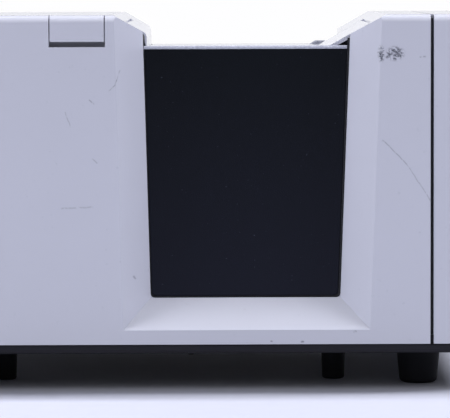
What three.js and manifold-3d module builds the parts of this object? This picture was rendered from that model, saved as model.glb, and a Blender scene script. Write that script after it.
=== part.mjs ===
// Bench colour spectrophotometer: two painted towers, a lidded transmission compartment between them,
// an integrating sphere in the left tower and a spectrometer in the right one.
// Millimetres, +Z up, front towards -Y. The origin is under the middle of the whole box, on the table.
import * as THREE from "three";
import { mergeVertices } from "three/addons/utils/BufferGeometryUtils.js";
import Module from "manifold-3d";

const wasm = await Module();
wasm.setup();

// Driving dimensions of the case
const overallLength = 480;
const caseDepth = 320;
const overallHeight = 300;
const clampReach = 24;
const wall = 3;
const gap = 0.3;
const overrun = 20;

// Driving dimensions of the feet, the base pan and the bench in it
const footHeight = 28.5;
const panStepHeight = 6.8;
const panSheet = 2;
const benchThickness = 6;
const coverLift = 0.4;

// Driving dimensions of the covers
const endCoverLength = 32.8;
const seamGap = 2.7;
const edgeRadius = 5;
const rearPanelThickness = 2.7;

// Driving dimensions of the compartment opening, its bezel and the tower shoulders
const rightTowerLength = 106.8;
const sillHeight = 71.3;
const leftLeanShare = 0.025;
const rightLeanShare = 0.038;
const bezelDepth = 25;
const bezelLeft = 22;
const bezelRight = 24;
const bezelBottom = 23.7;
const leftShoulderRun = 28.2;
const rightShoulderRun = 35.9;
const leftFallShare = 0.5867;
const rightFallShare = 0.5667;
const openingCornerRadius = 3.5;
const shoulderCornerRadius = 6;

// Driving dimensions of the compartment lid
const compartmentBehindAxis = 52;
const lidTopDrop = 27.6;
const lidPlate = 2.6;
const lidFrontPlate = 3;
const lidHingeDrop = 5.4;
const wingPlate = 1.6;

// Driving dimensions of the measuring axis, the sphere and the lamp over it
const axisDrop = 10.55;
const sphereWall = 4;
const flangeRim = 8;
const standRim = 8;
const housingHeight = 39.7;
const housingDrop = 14;
const endMargin = 6;
const sphereToValley = 45.6;

// Stations that follow from the driving dimensions
const leftFace = -overallLength / 2 + clampReach;
const rightFace = overallLength / 2;
const frontFace = -caseDepth / 2;
const rearFace = caseDepth / 2;
const coverRear = rearFace - rearPanelThickness - gap;
const coverLeft = leftFace + endCoverLength + seamGap;
const coverRight = rightFace - endCoverLength - seamGap;
const panBottom = footHeight + gap;
const coverBottom = panBottom + panStepHeight + coverLift;
const benchBottom = panBottom + panSheet + gap;
const benchTop = benchBottom + benchThickness;
const axisHeight = (benchTop + overallHeight) / 2 - axisDrop;
const standTop = overallHeight - housingDrop - housingHeight - gap;
const flangeRadius = standTop - standRim - axisHeight;
const sphereOuterRadius = flangeRadius - flangeRim;
const leftTowerLength = endMargin + 2 * sphereOuterRadius + sphereToValley;
const openingLeft = leftFace + leftTowerLength;
const openingRight = rightFace - rightTowerLength;
const openingWidth = openingRight - openingLeft;
const bezelBack = frontFace + bezelDepth;
const lidTopLevel = overallHeight - lidTopDrop;
const lidRear = compartmentBehindAxis;

// Materials, one for each finish
const finish = (color, roughness, metalness) =>
  new THREE.MeshStandardMaterial({ color, roughness, metalness });
const housingPaint = finish(0xb2b6ca, 0.55, 0);
const lidPaint = finish(0x16181f, 0.6, 0);
const blackPaint = finish(0x232329, 0.5, 0.1);
const rubber = finish(0x111214, 0.8, 0);
const foam = finish(0x1b1c1f, 0.95, 0);
const steel = finish(0xb9bcc0, 0.3, 1);
const aluminium = finish(0xc4c7cb, 0.4, 1);
const whiteCoating = finish(0xf4f4f0, 0.9, 0);
const clearGlass = finish(0xe6f0f4, 0.05, 0);
const circuitBoard = finish(0x1f6a3c, 0.6, 0);
const darkPlastic = finish(0x1d1f23, 0.5, 0);

const instrument = new THREE.Group();

// Solids from three.js geometries

const mergeDistance = 1e-4;

function solidOf(geometry) {
  const loose = geometry.index ? geometry.toNonIndexed() : geometry.clone();
  loose.deleteAttribute("normal");
  loose.deleteAttribute("uv");
  const merged = mergeVertices(loose, mergeDistance);
  const index = merged.index.array;
  const kept = [];
  for (let i = 0; i < index.length; i += 3) {
    const [a, b, c] = [index[i], index[i + 1], index[i + 2]];
    if (a !== b && b !== c && a !== c) kept.push(a, b, c);
  }
  return new wasm.Manifold(
    new wasm.Mesh({
      numProp: 3,
      vertProperties: merged.attributes.position.array,
      triVerts: new Uint32Array(kept),
    }),
  );
}

function geometryOf(solid) {
  const mesh = solid.getMesh();
  const geometry = new THREE.BufferGeometry();
  geometry.setAttribute("position", new THREE.BufferAttribute(mesh.vertProperties, 3));
  geometry.setIndex(new THREE.BufferAttribute(mesh.triVerts, 1));
  geometry.computeVertexNormals();
  return geometry;
}

const cut = (solid, ...tools) => tools.reduce((rest, tool) => rest.subtract(tool), solid);
const join = (solid, ...others) => others.reduce((whole, other) => whole.add(other), solid);

function addPart(name, solid, material, group = instrument) {
  const mesh = new THREE.Mesh(geometryOf(solid), material);
  mesh.name = name;
  group.add(mesh);
  return mesh;
}

// A block between two opposite corners
function block([x0, y0, z0], [x1, y1, z1]) {
  const geometry = new THREE.BoxGeometry(x1 - x0, y1 - y0, z1 - z0);
  geometry.translate((x0 + x1) / 2, (y0 + y1) / 2, (z0 + z1) / 2);
  return solidOf(geometry);
}

// An outline pushed along one axis: (x, z) along Y, (y, z) along X or (x, y) along Z
function prism(outline, along, from, to) {
  const shape = new THREE.Shape(outline.map(([u, v]) => new THREE.Vector2(u, v)));
  const geometry = new THREE.ExtrudeGeometry(shape, { depth: to - from, bevelEnabled: false });
  if (along === "y") geometry.rotateX(Math.PI / 2).translate(0, to, 0);
  if (along === "x") {
    const turn = new THREE.Matrix4().makeBasis(
      new THREE.Vector3(0, 1, 0),
      new THREE.Vector3(0, 0, 1),
      new THREE.Vector3(1, 0, 0),
    );
    geometry.applyMatrix4(turn).translate(from, 0, 0);
  }
  if (along === "z") geometry.translate(0, 0, from);
  return solidOf(geometry);
}

// A profile of [radius, place along the axis] points turned round an axis through a point
function turned(profile, along, [x, y, z], sides = 32) {
  const points = profile.map(([radius, place]) => new THREE.Vector2(radius, place));
  const geometry = new THREE.LatheGeometry(points, sides);
  if (along === "x") geometry.rotateZ(-Math.PI / 2);
  if (along === "z") geometry.rotateX(Math.PI / 2);
  geometry.translate(x, y, z);
  const solid = solidOf(geometry);
  return solid.volume() < 0 ? solidOf(flipped(geometry)) : solid;
}

function flipped(geometry) {
  const index = geometry.index.array;
  for (let i = 0; i < index.length; i += 3) {
    [index[i + 1], index[i + 2]] = [index[i + 2], index[i + 1]];
  }
  return geometry;
}

const rod = (along, centre, radius, from, to, sides = 24) =>
  turned([[0, from], [radius, from], [radius, to], [0, to]], along, centre, sides);

const sleeve = (along, centre, inner, outer, from, to, sides = 32) =>
  cut(
    rod(along, centre, outer, from, to, sides),
    rod(along, centre, inner, from - overrun, to + overrun, sides),
  );

// Where the line through p along d meets the line through q along e
function crossing(p, d, q, e) {
  const share = ((q[0] - p[0]) * e[1] - (q[1] - p[1]) * e[0]) / (d[0] * e[1] - d[1] * e[0]);
  return [p[0] + d[0] * share, p[1] + d[1] * share];
}

// The edge from a to b moved to its left by a distance
function shiftedEdge(a, b, distance) {
  const way = [b[0] - a[0], b[1] - a[1]];
  const length = Math.hypot(way[0], way[1]);
  return { start: [a[0] - (way[1] / length) * distance, a[1] + (way[0] / length) * distance], way };
}

// An anticlockwise outline with each edge moved inwards by its own distance
function inset(outline, distances) {
  const count = outline.length;
  return outline.map((corner, i) => {
    const last = (i + count - 1) % count;
    const first = shiftedEdge(outline[last], corner, distances[last]);
    const second = shiftedEdge(corner, outline[(i + 1) % count], distances[i]);
    return crossing(first.start, first.way, second.start, second.way);
  });
}

// An outline of [u, v, radius] corners with each corner that has a radius turned into an arc
const arcSteps = 5;

function rounded(corners) {
  const count = corners.length;
  return corners.flatMap(([u, v, radius], i) => {
    if (!radius) return [[u, v]];
    const corner = new THREE.Vector2(u, v);
    const [lastU, lastV] = corners[(i + count - 1) % count];
    const [nextU, nextV] = corners[(i + 1) % count];
    const back = new THREE.Vector2(lastU - u, lastV - v).normalize();
    const onward = new THREE.Vector2(nextU - u, nextV - v).normalize();
    const half = Math.acos(back.dot(onward)) / 2;
    const middle = back.clone().add(onward).normalize();
    const centre = corner.clone().addScaledVector(middle, radius / Math.sin(half));
    const start = corner.clone().addScaledVector(back, radius / Math.tan(half)).sub(centre);
    const sweep = Math.PI - 2 * half;
    const side = Math.sign(back.cross(onward));
    return Array.from({ length: arcSteps + 1 }, (_, step) => {
      const arm = start.clone().rotateAround(new THREE.Vector2(), (-side * sweep * step) / arcSteps);
      return [centre.x + arm.x, centre.y + arm.y];
    });
  });
}

const withRadius = (corner, radius) => [...corner, radius];

// Main cover: a folded painted shell over both towers, with the bezel and the valley between the towers

const leftWallAt = (height) => openingLeft - leftLeanShare * (height - sillHeight);
const rightWallAt = (height) => openingRight + rightLeanShare * (height - sillHeight);
const leftShoulder = openingLeft - leftShoulderRun;
const rightShoulder = openingRight + rightShoulderRun;
const leftFall = [1, -leftFallShare];
const rightFall = [-1, -rightFallShare];
const leftCorner = crossing(
  [leftShoulder, overallHeight], leftFall, [openingLeft, sillHeight], [-leftLeanShare, 1],
);
const rightCorner = crossing(
  [rightShoulder, overallHeight], rightFall, [openingRight, sillHeight], [rightLeanShare, 1],
);

const towersOutline = (valley) => [
  [coverLeft, coverBottom],
  [coverRight, coverBottom],
  [coverRight, overallHeight],
  [rightShoulder, overallHeight],
  rightCorner,
  ...valley,
  leftCorner,
  [leftShoulder, overallHeight],
  [coverLeft, overallHeight],
];
const valleyFloor = [[openingRight, sillHeight], [openingLeft, sillHeight]];
const cornerRadii = (radius) => (corner) => {
  if (corner === leftCorner) return withRadius(corner, shoulderCornerRadius);
  return valleyFloor.includes(corner) ? withRadius(corner, radius) : corner;
};

// The outline of the depth of the case, its upper front edge rounded
const sideOutline = (low, back) =>
  rounded([
    [frontFace, low],
    [back, low],
    [back, overallHeight],
    [frontFace, overallHeight, edgeRadius],
  ]);

// The funnel that the bezel's three sloped faces leave open, grown by a wall where it is asked for
function bezelFunnel(grow) {
  const sideGrow = (run) => (grow * Math.hypot(run, bezelDepth)) / bezelDepth;
  const top = overallHeight + overrun;
  const ring = (y, left, right, low, growLeft, growRight, growLow) => {
    const floor = low - growLow;
    return [
      [leftWallAt(floor) - left - growLeft, y, floor],
      [rightWallAt(floor) + right + growRight, y, floor],
      [rightWallAt(top) + right + growRight, y, top],
      [leftWallAt(top) - left - growLeft, y, top],
    ];
  };
  const grown = [sideGrow(bezelLeft), sideGrow(bezelRight), sideGrow(bezelBottom)];
  const outer = ring(frontFace, bezelLeft, bezelRight, sillHeight - bezelBottom, ...grown);
  const inner = ring(bezelBack, 0, 0, sillHeight, ...grown);
  // The funnel's faces carry on a little way in front of the case, so that the cut is clean
  const ahead = overrun / bezelDepth;
  const mouth = outer.map((corner, i) =>
    corner.map((value, axis) => value + (value - inner[i][axis]) * ahead),
  );
  return frustum(mouth, inner);
}

// A solid between two rings of four corners, each anticlockwise seen from the front
function frustum(near, far) {
  const faces = [[0, 1, 2], [0, 2, 3], [6, 5, 4], [7, 6, 4]];
  for (let side = 0; side < near.length; side += 1) {
    const next = (side + 1) % near.length;
    faces.push([side, side + 4, next], [next, side + 4, next + 4]);
  }
  const geometry = new THREE.BufferGeometry();
  const corners = new Float32Array([...near, ...far].flat());
  geometry.setAttribute("position", new THREE.BufferAttribute(corners, 3));
  geometry.setIndex(faces.flat());
  return solidOf(geometry);
}

// Rebates in the two slopes, where the lid's wings lie flush
const wingClearance = 0.8;
const rebateDrop = wingPlate + wingClearance;
const wingFront = bezelBack + lidFrontPlate + wingClearance;
const rebateFront = bezelBack + lidFrontPlate / 2;
const wingRearMargin = 25.2;
const wingRear = lidRear - wingRearMargin;
const rebateRear = wingRear + lidFrontPlate;
const leftWingReach = 12.5;
const rightWingReach = 15.5;

function slopeRebate(grow) {
  const drop = rebateDrop + grow;
  const side = wingClearance + wingPlate + grow;
  const left = [
    [leftCorner[0] - leftWingReach - side, overallHeight + overrun],
    crossing(
      [leftShoulder, overallHeight - drop * Math.hypot(...leftFall)], leftFall,
      [leftCorner[0] - leftWingReach - side, 0], [0, 1],
    ),
    crossing(
      [leftShoulder, overallHeight - drop * Math.hypot(...leftFall)], leftFall,
      [leftCorner[0] + overrun, 0], [0, 1],
    ),
    [leftCorner[0] + overrun, overallHeight + overrun],
  ];
  const right = [
    [rightCorner[0] - overrun, overallHeight + overrun],
    crossing(
      [rightShoulder, overallHeight - drop * Math.hypot(...rightFall)], rightFall,
      [rightCorner[0] - overrun, 0], [0, 1],
    ),
    crossing(
      [rightShoulder, overallHeight - drop * Math.hypot(...rightFall)], rightFall,
      [rightCorner[0] + rightWingReach + side, 0], [0, 1],
    ),
    [rightCorner[0] + rightWingReach + side, overallHeight + overrun],
  ];
  const [front, rear] = [rebateFront - grow, rebateRear + grow];
  return [prism(left, "y", front, rear), prism(right, "y", front, rear)];
}

// The hatch in the left tower's top and its tab, which folds down over the front edge
const hatchPlate = 2.4;
const hatchGap = 0.8;
const tabMargin = 7.5;
const tabWidth = 43.3;
const tabDrop = 21.1;
const fingerGap = 4.2;
const pocketDepth = 12;
const hatchLeftMargin = 20.5;
const hatchLeft = coverLeft + hatchLeftMargin;
const hatchRightMargin = 5.5;
const hatchRight = leftShoulder - hatchRightMargin;
const hatchFront = frontFace + pocketDepth;
const hatchLength = 186;
const hatchRear = hatchFront + hatchLength;
const hatchLedge = 5;
const ledgeThickness = 1.6;
const knuckleRadius = 2.4;
const hatchHingeY = hatchRear + knuckleRadius + gap;
const hatchHingeZ = overallHeight - knuckleRadius;
const hatchKnuckleShares = [0.08, 0.2, 0.8, 0.92];
const hatchKnuckleLengthShare = 0.085;
const hatchPinRadius = 1;
const hatchWidth = hatchRight - hatchLeft;
const hatchKnuckleLength = hatchWidth * hatchKnuckleLengthShare;
const knuckleX = (share) => hatchLeft + hatchWidth * share;
const tabRight = leftShoulder - tabMargin;
const tabLeft = tabRight - tabWidth;
const tabBottom = overallHeight - tabDrop;

const outerTowers = join(
  cut(
    prism(
      rounded(towersOutline([]).map(cornerRadii(0))), "y", frontFace, bezelBack,
    ).intersect(prism(sideOutline(coverBottom - overrun, coverRear), "x", leftFace, rightFace)),
    bezelFunnel(0),
  ),
  prism(
    rounded(towersOutline(valleyFloor).map(cornerRadii(openingCornerRadius))), "y", bezelBack, coverRear,
  ),
);

const open = -overrun;
const frontHollow = cut(
  prism(
    inset(towersOutline([]), [open, open, wall, wall, wall, wall, wall, open]),
    "y", frontFace + wall, bezelBack,
  ),
  bezelFunnel(wall),
);
const rearHollow = prism(
  inset(towersOutline(valleyFloor), [open, open, wall, wall, wall, wall, wall, wall, wall, open]),
  "y", bezelBack, coverRear + overrun,
);

const hatchOpening = block(
  [hatchLeft - hatchGap, hatchFront - hatchGap, overallHeight - wall - overrun],
  [hatchRight + hatchGap, hatchHingeY + knuckleRadius + gap, overallHeight + overrun],
);
const ledgeTop = overallHeight - hatchPlate - gap;
const ledgeBottom = ledgeTop - ledgeThickness;
const hatchLedgeRing = cut(
  block(
    [hatchLeft - hatchLedge, hatchFront - hatchLedge, ledgeBottom],
    [hatchRight + hatchGap + wall, hatchHingeY + knuckleRadius + hatchLedge, overallHeight - wall / 2],
  ),
  block(
    [hatchLeft + hatchLedge, hatchFront + hatchLedge, ledgeBottom - overrun],
    [hatchRight - hatchLedge, hatchRear - hatchLedge, overallHeight],
  ),
  block(
    [hatchLeft - hatchGap, hatchRear, ledgeTop],
    [hatchRight + hatchGap, hatchHingeY + knuckleRadius + gap, overallHeight],
  ),
  block(
    [hatchLeft + gap, hatchRear - hatchLedge, ledgeBottom - overrun],
    [hatchRight - gap, hatchHingeY + knuckleRadius + gap, overallHeight],
  ),
);
const pocketWalls = cut(
  block(
    [tabLeft - hatchGap - wall, frontFace + wall / 2, tabBottom - fingerGap - wall],
    [tabRight + hatchGap + wall, hatchFront - hatchGap + wall, overallHeight - wall / 2],
  ),
  block(
    [tabLeft - hatchGap, frontFace, tabBottom - fingerGap],
    [tabRight + hatchGap, hatchFront - hatchGap, overallHeight],
  ),
);
const tabNotch = block(
  [tabLeft - hatchGap, frontFace - overrun, tabBottom - fingerGap],
  [tabRight + hatchGap, hatchFront - hatchGap, overallHeight + overrun],
);
const plateSeat = block(
  [hatchLeft - hatchGap, hatchFront - hatchGap, ledgeTop],
  [hatchRight + hatchGap, hatchRear + gap / 2, overallHeight + overrun],
);

// Holes in the valley's two walls for the beam
const beamHoleRadius = 16.5;
const lensHoleRadius = 18.5;
const leftBeamHole = rod("x", [0, 0, axisHeight], beamHoleRadius, leftShoulder, openingLeft + overrun);
const rightBeamHole = rod(
  "x", [0, 0, axisHeight], lensHoleRadius, openingRight - overrun, rightShoulder,
);

const hatchPinBore = rod(
  "x", [0, hatchHingeY, hatchHingeZ], hatchPinRadius + gap, hatchLeft - gap, hatchRight + gap, 12,
);
const hatchBarrel = (from, to) =>
  rod("x", [0, hatchHingeY, hatchHingeZ], knuckleRadius, from, to, 16);
const coverKnuckles = [1, 2].map((i) => {
  const middle = knuckleX(hatchKnuckleShares[i]);
  const [from, to] = [middle - hatchKnuckleLength / 2, middle + hatchKnuckleLength / 2];
  return join(
    hatchBarrel(from, to),
    block([from, hatchHingeY, hatchHingeZ - knuckleRadius], [to, hatchHingeY + hatchLedge, hatchHingeZ]),
  );
});

const coverShell = cut(
  outerTowers,
  ...slopeRebate(0),
  cut(join(frontHollow, rearHollow), ...slopeRebate(wall)),
);
addPart(
  "main_cover",
  cut(
    join(cut(coverShell, hatchOpening), hatchLedgeRing, pocketWalls, ...coverKnuckles),
    tabNotch, plateSeat, leftBeamHole, rightBeamHole, hatchPinBore,
  ),
  housingPaint,
);

// Top hatch: a plate over the lamp, with a tab for the finger and two hinge knuckles at the back
const tabBlank = join(
  block([tabLeft, frontFace, tabBottom], [tabRight, frontFace + wall, overallHeight]),
  block(
    [tabLeft, frontFace, overallHeight - hatchPlate],
    [tabRight, hatchFront + hatchLedge, overallHeight],
  ),
).intersect(prism(sideOutline(coverBottom, coverRear), "x", leftFace, rightFace));
const hatchKnuckles = [0, 3].map((i) => {
  const middle = knuckleX(hatchKnuckleShares[i]);
  const [from, to] = [middle - hatchKnuckleLength / 2, middle + hatchKnuckleLength / 2];
  return join(
    hatchBarrel(from, to),
    block([from, hatchRear - hatchLedge, overallHeight - hatchPlate], [to, hatchHingeY, overallHeight]),
  );
});
addPart(
  "top_hatch",
  cut(
    join(
      block([hatchLeft, hatchFront, overallHeight - hatchPlate], [hatchRight, hatchRear, overallHeight]),
      tabBlank, ...hatchKnuckles,
    ),
    hatchPinBore,
  ),
  housingPaint,
);
addPart(
  "hatch_hinge_pin",
  rod("x", [0, hatchHingeY, hatchHingeZ], hatchPinRadius, hatchLeft + hatchGap, hatchRight - hatchGap, 10),
  steel,
);

// End covers: caps over the two ends, each with a tongue that fills the seam from inside
const tongueLength = 9;

function endCover(outerX, innerX) {
  const toward = Math.sign(outerX - innerX);
  const span = (a, b) => [Math.min(a, b), Math.max(a, b)];
  const [capFrom, capTo] = span(outerX, innerX);
  const [hollowFrom, hollowTo] = span(outerX - toward * wall, innerX - toward * overrun);
  const tongueInset = wall + gap;
  const section = (inward, low) => [
    [frontFace + inward, low],
    [coverRear, low],
    [coverRear, overallHeight - inward],
    [frontFace + inward, overallHeight - inward],
  ];
  const cap = prism(sideOutline(coverBottom, coverRear), "x", capFrom, capTo);
  const hollow = prism(section(wall, coverBottom - overrun), "x", hollowFrom, hollowTo);
  const [tongueStart, tongueEnd] = span(
    innerX + toward * tongueInset, innerX - toward * (seamGap + tongueLength),
  );
  const [rootStart, rootEnd] = span(innerX + toward * tongueInset, innerX);
  const tongue = cut(
    join(
      prism(section(tongueInset, coverBottom), "x", tongueStart, tongueEnd),
      prism(section(wall / 2, coverBottom), "x", rootStart, rootEnd),
    ),
    prism(
      section(tongueInset + wall, coverBottom - overrun), "x", tongueStart - overrun, tongueEnd + overrun,
    ),
    block(
      [tongueStart - overrun, frontFace, coverBottom - overrun],
      [tongueEnd + overrun, frontFace + caseDepth, panBottom + panFlangeHeight + gap],
    ),
    block(
      [tongueStart - overrun, coverRear - tongueInset, coverBottom - overrun],
      [tongueEnd + overrun, rearFace, overallHeight],
    ),
  );
  return join(cut(cap, hollow), tongue);
}

// Base pan: a black sheet-metal tray whose low rim shows under the covers
const panInset = 1;
const panFlangeHeight = 14;
const flangeClearance = 0.4;
const flangeInset = wall + flangeClearance;
const panCorner = (inward) => [
  [leftFace + inward, frontFace + inward],
  [rightFace - inward, rearFace - inward],
];
const panBlock = (inward, low, high) => {
  const [[x0, y0], [x1, y1]] = panCorner(inward);
  return block([x0, y0, low], [x1, y1, high]);
};
const panRimTop = panBottom + panStepHeight;
addPart(
  "base_pan",
  cut(
    join(
      panBlock(panInset, panBottom, panRimTop),
      panBlock(flangeInset, panBottom, panBottom + panFlangeHeight),
    ),
    panBlock(flangeInset + panSheet, panBottom + panSheet, panBottom + panFlangeHeight + overrun),
  ),
  blackPaint,
);

// The measuring port in the left end
const portHoleRadius = 30;
const portHole = rod("x", [0, 0, axisHeight], portHoleRadius, leftFace - overrun, leftFace + wall + overrun);
const buttonRise = 68;
const buttonHeight = axisHeight + buttonRise;
const buttonRadius = 9;
const buttonTravel = 1.5;
const buttonHole = rod(
  "x", [0, 0, buttonHeight], buttonRadius + gap, leftFace - overrun, leftFace + wall + overrun, 20,
);
addPart(
  "left_end_cover",
  cut(endCover(leftFace, leftFace + endCoverLength), portHole, buttonHole),
  housingPaint,
);
addPart("right_end_cover", endCover(rightFace, rightFace - endCoverLength), housingPaint);

// Hinge bridge: the painted beam between the towers that the lid hinges on
const bridgeDrop = 1.4;
const bridgeHeight = 46;
const bridgeWall = 2.5;
const bridgeClearance = 0.4;
const bridgeTop = lidTopLevel - bridgeDrop;
const lidHingeSetback = 6;
const lidKnuckleRadius = 4;
const lidPinRadius = 2;
const lidHingeY = lidRear + lidHingeSetback;
const lidHingeZ = lidTopLevel - lidHingeDrop;
const bridgeFront = lidHingeY + lidKnuckleRadius + wingClearance;
const bridgeLow = bridgeTop - bridgeHeight;
const valleySection = (inward, low, high, radius = 0) =>
  rounded([
    withRadius([leftWallAt(low) + inward, low], radius),
    withRadius([rightWallAt(low) - inward, low], radius),
    [rightWallAt(high) - inward, high],
    [leftWallAt(high) + inward, high],
  ]);
const lidKnuckleShares = [0.12, 0.3, 0.7, 0.88];
const lidKnuckleLengthShare = 0.1042;
const lidKnuckleLength = openingWidth * lidKnuckleLengthShare;
const lidKnuckleX = (share) => openingLeft + openingWidth * share;
const lidBarrel = (from, to) => rod("x", [0, lidHingeY, lidHingeZ], lidKnuckleRadius, from, to, 18);
const lidPinBore = rod(
  "x", [0, lidHingeY, lidHingeZ], lidPinRadius + gap, openingLeft - overrun, openingRight + overrun, 16,
);
const knuckleSpan = (share) => [
  lidKnuckleX(share) - lidKnuckleLength / 2,
  lidKnuckleX(share) + lidKnuckleLength / 2,
];
const bridgeKnuckles = [1, 2].map((i) => {
  const [from, to] = knuckleSpan(lidKnuckleShares[i]);
  return join(
    lidBarrel(from, to),
    block(
      [from, lidHingeY, lidHingeZ - lidKnuckleRadius],
      [to, bridgeFront + bridgeWall, lidHingeZ + lidKnuckleRadius / 2],
    ),
  );
});
addPart(
  "hinge_bridge",
  cut(
    join(
      cut(
        prism(valleySection(bridgeClearance, bridgeLow, bridgeTop), "y", bridgeFront, coverRear),
        prism(
          valleySection(bridgeClearance + bridgeWall, bridgeLow - overrun, bridgeTop - bridgeWall),
          "y", bridgeFront + bridgeWall, coverRear - bridgeWall,
        ),
      ),
      ...bridgeKnuckles,
    ),
    lidPinBore,
  ),
  housingPaint,
);
addPart(
  "lid_hinge_pin",
  rod(
    "x", [0, lidHingeY, lidHingeZ], lidPinRadius,
    knuckleSpan(lidKnuckleShares[0])[0], knuckleSpan(lidKnuckleShares[3])[1], 14,
  ),
  steel,
);

// Interlock cover: the small moulded hood over the switch that the lid works
const interlockInset = 20.2;
const interlockWidth = 15.5;
const interlockDepth = 20;
const interlockHeight = 4.2;
const interlockRampShare = 0.4;
const interlockLeft = openingRight - interlockInset;
addPart(
  "interlock_cover",
  prism(
    [
      [interlockLeft, bridgeTop + gap],
      [interlockLeft + interlockWidth, bridgeTop + gap],
      [interlockLeft + interlockWidth, bridgeTop + interlockHeight],
      [interlockLeft + interlockWidth * interlockRampShare, bridgeTop + interlockHeight],
    ],
    "y", bridgeFront + bridgeWall, bridgeFront + bridgeWall + interlockDepth,
  ),
  housingPaint,
);

// Compartment lid: a black front plate screwed to a painted top plate with wings over the slopes
const lidSideGap = 1.2;
const lidRightGap = 2.2;
const lidSillGap = 1.6;
const lidFrontBack = bezelBack + lidFrontPlate;
const lidSill = sillHeight + lidSillGap;
const plateUnderside = lidTopLevel - lidPlate;
addPart(
  "lid_front_plate",
  prism(
    rounded([
      withRadius([leftWallAt(lidSill) + lidSideGap, lidSill], openingCornerRadius),
      withRadius([rightWallAt(lidSill) - lidRightGap, lidSill], openingCornerRadius),
      [rightWallAt(lidTopLevel) - lidRightGap, lidTopLevel],
      [leftWallAt(lidTopLevel) + lidSideGap, lidTopLevel],
    ]),
    "y", bezelBack, lidFrontBack,
  ),
  lidPaint,
);

// A strip along a path: the path and its copy moved to its left, with the inner bend rounded
function strip(path, thickness) {
  const shifted = path.map((point, i) => {
    const before = path[Math.max(i - 1, 0)];
    const after = path[Math.min(i + 1, path.length - 1)];
    if (i === 0 || i === path.length - 1) return shiftedEnd(before, after, point, thickness);
    const first = shiftedEdge(before, point, thickness);
    const second = shiftedEdge(point, after, thickness);
    return crossing(first.start, first.way, second.start, second.way);
  });
  return [...path, ...shifted.reverse()];
}

function shiftedEnd(before, after, point, distance) {
  const length = Math.hypot(after[0] - before[0], after[1] - before[1]);
  return [
    point[0] - ((after[1] - before[1]) / length) * distance,
    point[1] + ((after[0] - before[0]) / length) * distance,
  ];
}

const wingRadius = 5;
const leftWingX = leftWallAt(lidTopLevel) + lidSideGap;
const leftWingEnd = leftCorner[0] - leftWingReach;
const rightWingEnd = rightCorner[0] + rightWingReach;
const leftSlopeAt = (x) => overallHeight - leftFallShare * (x - leftShoulder);
const rightSlopeAt = (x) => overallHeight - rightFallShare * (rightShoulder - x);
const rightWingFoot = rightShoulder - (overallHeight - lidTopLevel) / rightFallShare;
const leftWingOuter = [
  [leftWingX + wingPlate, plateUnderside],
  [leftWingX + wingPlate, leftSlopeAt(leftWingX + wingPlate)],
  [leftWingEnd, leftSlopeAt(leftWingEnd)],
];
const leftWing = strip(leftWingOuter, wingPlate);
const bendRadii = [0, wingRadius, 0, 0, wingRadius - wingPlate, 0];
const rightWing = strip(
  [
    [rightWingEnd, rightSlopeAt(rightWingEnd)],
    [rightWingFoot - wingPlate, rightSlopeAt(rightWingFoot - wingPlate)],
  ],
  wingPlate,
);
const lidTopPlate = block(
  [leftWingX, lidFrontBack + gap, plateUnderside],
  [rightWallAt(lidTopLevel) - lidRightGap, lidRear, lidTopLevel],
);
const screwFlangeHeight = 14;
const screwFlange = block(
  [leftWingX + lidFrontPlate, lidFrontBack + gap, plateUnderside - screwFlangeHeight],
  [rightWallAt(lidTopLevel) - lidRightGap - lidFrontPlate, lidFrontBack + gap + lidPlate, lidTopLevel],
);
const armFront = lidRear - lidKnuckleRadius;
const armLow = lidHingeZ + lidPinRadius + gap;
const lidKnuckles = [0, 3].map((i) => {
  const [from, to] = knuckleSpan(lidKnuckleShares[i]);
  return join(
    lidBarrel(from, to),
    block([from, armFront, armLow], [to, lidHingeY, plateUnderside]),
    block([from, armFront, armLow], [to, lidRear, lidTopLevel]),
  );
});
addPart(
  "lid_top_plate",
  cut(
    join(
      lidTopPlate,
      screwFlange,
      prism(rounded(leftWing.map((point, i) => withRadius(point, bendRadii[i]))), "y", wingFront, wingRear),
      prism(rightWing, "y", wingFront, wingRear),
      ...lidKnuckles,
    ),
    lidPinBore,
  ),
  housingPaint,
);

// Compartment tray: the black liner of floor, two side walls and back wall
const traySheet = 1.5;
const trayClearance = 0.4;
const trayDrop = 6;
const trayTop = plateUnderside - trayDrop;
const trayBack = lidHingeY - lidKnuckleRadius - wingClearance;
const trayFront = lidFrontBack + wingClearance;
addPart(
  "compartment_tray",
  cut(
    prism(
      valleySection(trayClearance, sillHeight + trayClearance, trayTop, openingCornerRadius),
      "y", trayFront, trayBack,
    ),
    prism(
      valleySection(
        trayClearance + traySheet, sillHeight + trayClearance + traySheet, trayTop + overrun,
        openingCornerRadius - traySheet,
      ),
      "y", trayFront - overrun, trayBack - traySheet,
    ),
    leftBeamHole,
    rightBeamHole,
  ),
  blackPaint,
);

// Lid seal: a foam strip on the bridge's front that the closed lid rests on
const sealWidth = 6;
const sealHeight = 4.9;
addPart(
  "lid_seal",
  block(
    [leftWallAt(trayTop) + trayClearance + gap, trayBack - sealWidth, trayTop + gap],
    [rightWallAt(trayTop) - trayClearance - gap, trayBack, trayTop + gap + sealHeight],
  ),
  foam,
);

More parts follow.
